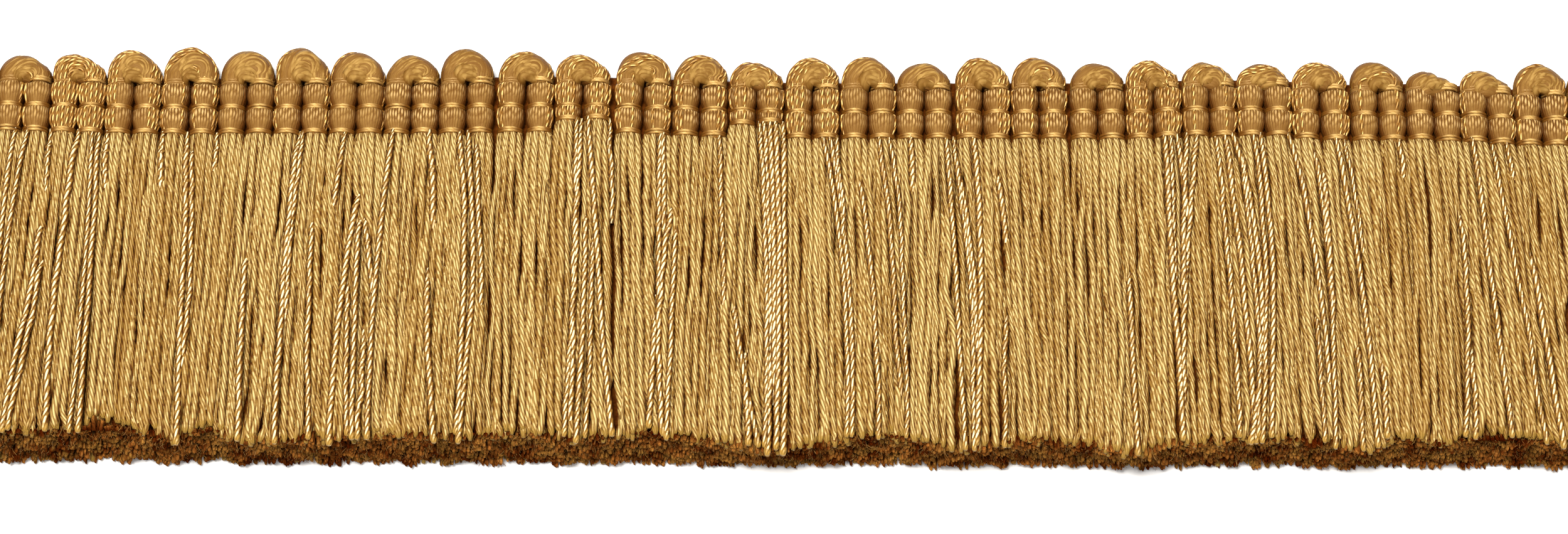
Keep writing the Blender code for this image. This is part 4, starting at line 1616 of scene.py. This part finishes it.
    def build_bundles(self) -> bpy.types.Object:
        """The looped bundles, each one closed tube, with strokes and painted highlights high on each bead,
        which fade to painted shade at its necks and arch.

        Returns:
            The piece.
        """
        _, girth, over = self.middle_line()
        loops, rings = girth.shape
        ring = np.array(self.bundle_angles)
        points = self.on_bundle(np.broadcast_to(ring, (loops, rings, len(ring))), 0.0, np.arange(loops))
        around = (np.append(ring, ring[0] + 360.0) - self.rolled(over)[..., None]) / 360.0 + 1.0
        tint = np.repeat(self.rng.uniform(0, 1, (loops, 1)), rings, axis=1)
        # Painted light up each column: full on the upper part of each bead, none at the necks.
        strokes = np.array([0, 0, 0.1, 0.4, 0.8, 1, 1, 1, 0.8, 0])
        column = np.concatenate([[0.2, 0.2], strokes, strokes[1:], [0.25, 0.2, 0.15]])
        relief_and_light = np.concatenate([column, np.zeros(self.arch_rings), column[::-1]])
        relief_and_light = relief_and_light * self.rng.uniform(0.55, 1.0, (loops, 1))
        piece = Piece("heading_bundles", Rings(points, around, tint, relief_and_light, np.zeros(girth.shape)))
        return piece.build("bundle", "heading_yarn")

    def cords(self, yarn: Yarn, loops: Array, angle: Array, part: slice, is_matte: bool) -> Rings:
        """Yarns that lie on the bundles.

        Args:
            yarn: The kind of yarn.
            loops: Which loop each follows, (cords,).
            angle: Degrees from the crown to each, (cords,).
            part: Which of the loop's rings they run over.
            is_matte: Whether they are matte, and so lie deeper, a little astray and painted in shade on the
                left.

        Returns:
            The yarns' rings.
        """
        rng, count = self.rng, len(loops)
        _, girth, over = self.middle_line()
        astray = 9 * wander(rng, count, np.linspace(0, 1, over.shape[1]), (2.0, 4.0)) if is_matte else 0
        turned = angle[:, None] + self.rolled(over)[loops] + astray
        inset = (0.78 if is_matte else 0.3) * yarn.radius
        lines = self.on_bundle(turned[..., None], inset, loops)[:, part, 0]
        grown = ((girth[loops] - self.neck) / (self.bead - self.neck))[:, part]
        radius = yarn.radius * (0.8 + 0.2 * grown) * (1 + rng.normal(0, 0.08, (count, 1)))
        # Painted shade: cords further round the bundle from near its crown are darker.
        tint = np.clip(rng.normal(0.62, 0.2, count) - (np.abs(angle - 10) / 115) ** 2, 0, 1)
        # Painted shade over the left half of each matte cord.
        left = smooth(-np.linspace(-1, 1, radius.shape[1]), 0.1, 0.9)
        dark = np.broadcast_to(0.4 * left, radius.shape) if is_matte else None
        return follow(lines, radius, yarn, rng, tint, dark)

    def build_cords(self) -> list[bpy.types.Object]:
        """The yarns that stand proud of the bundles: matte ones over the arches, and the lustrous ones.

        Returns:
            Both pieces.
        """
        count, rings = self.middle_line()[1].shape
        loops = np.repeat(np.arange(count), len(self.matte_cords))
        angles = np.tile(self.matte_cords, count) + self.rng.normal(0, 5, len(loops))
        matte = self.cords(self.cord, loops, angles, slice(20, rings - 20), True)
        loops = np.repeat(np.arange(count), [len(row.bright) for row in LOOPS])
        angles = np.array([float(angle) for row in LOOPS for angle in row.bright])
        bright = self.cords(self.bright, loops, angles, slice(0, rings), False)
        return [
            Piece("heading_matte_cords", matte).build("cord", "heading_yarn"),
            Piece("heading_lustrous_cords", bright).build("bright_cord", "bright_yarn"),
        ]

    def build_inner_strands(self) -> bpy.types.Object:
        """The strands that close each loop: they fan out of the right collar and curl down at the left.

        A strand runs on the upper half of an ellipse round the loop's eye, from left to right. The
        further out it lies, the larger the ellipse is. Its left end dips under the left bead, and its
        right end runs on to the right collar. Strands further in are painted darker, as shade in the
        loop's eye, and each is painted in shade at its left end, where it curls under the bead.

        Returns:
            The piece.
        """
        rng, plan = self.rng, self.plan
        loop = np.repeat(np.arange(len(LOOPS)), self.inner_strands)
        order = np.tile(np.arange(self.inner_strands), len(LOOPS))[:, None]
        middle = (plan.column_x(2 * loop) + plan.column_x(2 * loop + 1))[:, None] / 2
        turn = np.linspace(1.1 * np.pi, 0, self.inner_rings)[None, :]
        over = np.maximum(np.sin(turn), 0)
        size = (order + 1.0) / (self.inner_strands + 0.4)
        eye = (-0.25 + 0.25 * rng.uniform(-1, 1, (len(LOOPS), 1))[loop]) * MM
        settle = smooth(1 - turn / np.pi, 0.55, 1.0)
        x_end = plan.pitch / 2 + (size - 0.5) * 1.1 * MM
        x = middle + (eye + 1.55 * MM * size * np.cos(turn)) * (1 - settle) + x_end * settle
        x = x + rng.normal(0, 0.06, (len(loop), 1)) * MM * np.sin(turn)
        top = self.levels(2 * loop)[2][:, None]
        y = top - 0.15 * MM + (0.35 * MM + size * (self.rise[loop] - 1.25 * MM)) * np.sin(turn)
        y = y + 0.28 * (x - middle - 0.2 * MM) * over
        high = 2.28 * MM + 0.6 * MM * over - 0.3 * MM * size**2
        high = high - 1.1 * MM * smooth(turn, 0.72 * np.pi, 1.1 * np.pi) - 0.35 * MM * settle
        own = rng.uniform(0.8, 1.15, (len(loop), 1))
        radius = self.inner.radius * own * (0.62 + 0.38 * np.sin(np.clip(turn, 0, np.pi)) ** 0.5)
        # Painted shade: the further in a strand lies, towards the loop's eye, the darker.
        tint = np.clip(rng.normal(0.12, 0.13, len(loop)) + 0.5 * size[:, 0], 0, 1)
        # Painted shade at the left end, where the strand curls under the left bead.
        dark = np.broadcast_to(smooth(turn, 0.6 * np.pi, 1.05 * np.pi), radius.shape)
        rings = follow(np.stack([x, y, high], axis=-1), radius, self.inner, rng, tint, dark)
        return Piece("heading_inner_strands", rings).build("cord", "heading_yarn")

    def binding_path(self, level: int, row: int) -> Array:
        """The path of one thread of a binding.

        Over each column it goes round the neck on an ellipse, and between two columns it runs low
        across the gap. The top binding sits higher on the right leg of each loop, and on the left
        leg it lies inside the looser bundle.

        Args:
            level: 0 for the lowest binding, 2 for the top one.
            row: Which of the binding's threads.

        Returns:
            The path, (1, points, 3).
        """
        plan = self.plan
        column = np.arange(plan.columns)
        is_right = column % 2 == 1
        turn = np.radians(np.linspace(-105, 105, 11))
        spacing = self.thread_spacing
        rise = np.full(len(column), (row - 0.5) * spacing)
        half_width = np.full(len(column), self.neck)
        if level == 2:
            rise = np.where(is_right, row * spacing + 0.10 * MM, (row - 0.8) * spacing)
            half_width = np.where(is_right, self.right_top_neck + 0.08 * MM, self.left_top_neck - 0.12 * MM)
        half_height = self.neck_height + 0.8 * (half_width - self.neck)
        proud = 0.07 * MM
        own = self.levels(column)[level] + rise + self.rng.normal(0, 0.03, len(column)) * MM
        middle = plan.column_x(column)[:, None]
        x = middle + (half_width + proud)[:, None] * np.sin(turn)
        z = plan.axis + (half_height + proud)[:, None] * np.cos(turn)
        edge = plan.pitch / 2 - 0.13 * MM
        low = np.full((len(column), 1), 0.7 * MM)
        x = np.concatenate([middle - edge, x, middle + edge], axis=1)
        z = np.concatenate([low, z, low], axis=1)
        y = np.repeat(own[:, None], x.shape[1], axis=1)
        return np.stack([x.ravel(), y.ravel(), z.ravel()], axis=-1)[None]

    def build_bindings(self) -> bpy.types.Object:
        """The three bindings: two threads side by side in the lower ones, and three in the top one.

        A thread thins in the gaps between columns, and is painted in shade from its middle out to its
        sides and into the gaps. The top binding's threads are painted in shade all over on the left leg
        of each loop.

        Returns:
            The piece.
        """
        piece = Piece("heading_binding_threads")
        for level, row in ((0, 0), (0, 1), (1, 0), (1, 1), (2, 0), (2, 1), (2, 2)):
            path = self.binding_path(level, row)
            radius = self.thread.radius * np.clip((path[:, :, 2] - 0.6 * MM) / MM, 0.25, 1.0)
            tint = self.rng.uniform(0.4, 0.9, 1)
            column = self.plan.nearest_column(path[:, :, 0])
            aside = np.abs(path[:, :, 0] - self.plan.column_x(column))
            # Painted shade from the thread's middle out to its sides and into the gaps, and at the top
            # binding all over it on each loop's left leg.
            side_shade = smooth(aside, 0.15 * MM, 0.75 * MM) * 0.6
            if level == 2:
                side_shade = np.where(column % 2 == 0, 0.4, side_shade * 0.6)
            rings = follow(path, radius, self.thread, self.rng, tint, side_shade, up=(0.0, 1.0, 0.0))
            piece.rings.append(rings)
        return piece.build("binding", "binding_thread")

    def build_woven_back(self) -> bpy.types.Object:
        """The woven back under the bindings: a flat band, ribbed across by the columns, painted dark as
        shade.

        Its section is a rounded oblong, a superellipse of power 4. Its top swells by a cosine
        over each column, and its upper edge shows at the foot of each notch.

        Returns:
            The piece.
        """
        plan = self.plan
        x = np.linspace(plan.left + 1.0 * MM, plan.right - 1.0 * MM, 361)
        angle = np.linspace(0, 2 * np.pi, 12, endpoint=False)
        flat, high = (np.abs(wave) ** 0.5 * np.sign(wave) for wave in (np.cos(angle), np.sin(angle)))
        low_y = plan.root - 1.0 * MM
        high_y = plan.root + plan.bottom_up + 2 * plan.binding_pitch + 1.4 * MM
        high_y = (high_y + eased(HEADING_WAVE, x))[:, None]
        off = (x - plan.column_x(plan.nearest_column(x))) / plan.pitch
        rib = 0.12 * MM * np.cos(np.pi * np.clip(off, -0.5, 0.5))[:, None]
        y = (low_y + high_y) / 2 + flat * (high_y - low_y) / 2
        z = 0.5 * MM + rib * 0.5 + high * (0.36 * MM + rib)
        points = np.stack([np.broadcast_to(x[:, None], y.shape), y, np.maximum(z, 0.02 * MM)], axis=-1)
        return Piece("heading_woven_back", Rings.plain(points)).build("shade", "heading_yarn")

    def build(self) -> None:
        """All the heading's pieces, which stand for its solid."""
        pieces = [self.build_bundles(), self.build_inner_strands(), *self.build_cords()]
        pieces += [self.build_bindings(), self.build_woven_back()]
        for piece in pieces:
            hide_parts("heading")


# Floor, light and camera


@dataclass(frozen=True)
class Studio:
    """A pale floor, soft light from overhead and the left, and the photograph's camera.

    elevation is the camera's height over the floor in degrees, and roll its turn about its own line
    of sight. focal and sensor are in millimetres. shown_width is the width of fringe in its frame,
    and centre_up how far above the fringe's middle it looks. floor_size is half the floor's width,
    and floor_low its height.
    """

    elevation: float = 68.0
    roll: float = 0.41
    focal: float = 100.0
    sensor: float = 36.0
    shown_width: float = 162.4 * MM
    centre_up: float = 0.29 * MM
    floor_size: float = 3.0
    floor_low: float = -0.02 * MM

    def build_floor(self) -> None:
        """A wide pale floor."""
        size, low = self.floor_size, self.floor_low
        corners = [(-size, -size, low), (size, -size, low), (size, size, low), (-size, size, low)]
        mesh = bpy.data.meshes.new("floor")
        mesh.from_pydata(corners, [], [(0, 1, 2, 3)])
        graph = Graph("pale_floor")
        colour = graph.mix(graph.noise(None, 40.0), (0.93, 0.93, 0.92), (0.95, 0.95, 0.94))
        graph.plug(graph.shader.inputs["Base Color"], colour)
        graph.plug(graph.shader.inputs["Roughness"], 0.9)
        mesh.materials.append(graph.material)
        floor = bpy.data.objects.new("floor", mesh)
        bpy.context.scene.collection.objects.link(floor)

    def add_light(self, name: str, place: Colour, size: float, power: float, colour: Colour) -> None:
        """Adds a square soft light that faces the middle of the fringe.

        Args:
            name: Its name.
            place: Where it hangs.
            size: The length of its sides.
            power: Its power in watts.
            colour: Its colour.
        """
        data = bpy.data.lights.new(name, "AREA")
        data.size = size
        data.energy = power
        data.color = colour
        light = bpy.data.objects.new(name, data)
        light.location = place
        light.rotation_euler = (-Vector(place)).to_track_quat("-Z", "Y").to_euler()
        bpy.context.scene.collection.objects.link(light)

    def build_lights(self) -> None:
        """A key from the left and slightly from the cut's side, a wide overhead light and a pale surround."""
        self.add_light("key", (-0.2, -0.08, 1.0), size=0.3, power=12.5, colour=(1.0, 0.97, 0.92))
        self.add_light("overhead", (0.1, 0.0, 1.1), size=0.8, power=6.5, colour=(1.0, 1.0, 1.0))
        world = bpy.data.worlds.new("studio")
        world.use_nodes = True
        background = world.node_tree.nodes["Background"]
        background.inputs["Color"].default_value = (1.0, 1.0, 1.0, 1.0)
        background.inputs["Strength"].default_value = 0.5
        bpy.context.scene.world = world
        bpy.context.scene.view_settings.view_transform = "Standard"

    def build_camera(self) -> None:
        """The camera, on the line that the photograph was taken along.

        Its distance shows the photograph's width of fringe in its frame, and it looks at the point of
        the floor that puts the fringe at the photograph's height in the frame.
        """
        data = bpy.data.cameras.new("camera")
        data.lens, data.sensor_width = self.focal, self.sensor
        camera = bpy.data.objects.new("camera", data)
        tilt = math.radians(self.elevation)
        back = Vector((0.0, -math.cos(tilt), math.sin(tilt)))
        up = Vector((0.0, math.sin(tilt), math.cos(tilt)))
        camera.location = up * self.centre_up + back * (self.shown_width * self.focal / self.sensor)
        rolled = Matrix.Rotation(math.radians(self.roll), 3, "Z")
        camera.rotation_euler = ((-back).to_track_quat("-Z", "Y").to_matrix() @ rolled).to_euler()
        bpy.context.scene.collection.objects.link(camera)
        bpy.context.scene.camera = camera

    def build(self) -> None:
        """Floor, lights and camera."""
        self.build_floor()
        self.build_lights()
        self.build_camera()


def main() -> None:
    """Builds the fringe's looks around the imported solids, piece by piece."""
    logging.basicConfig(level=logging.INFO, format="%(name)s: %(message)s")
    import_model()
    FINISHES.update({name: finish.material() for name, finish in FINISH_TABLE.items()})
    plan = Plan.from_frame()
    HeadingBand(plan).build()
    Skirt(plan).build()
    Studio().build()
    LOG.info("sizes written")


if __name__ == "__main__":
    main()
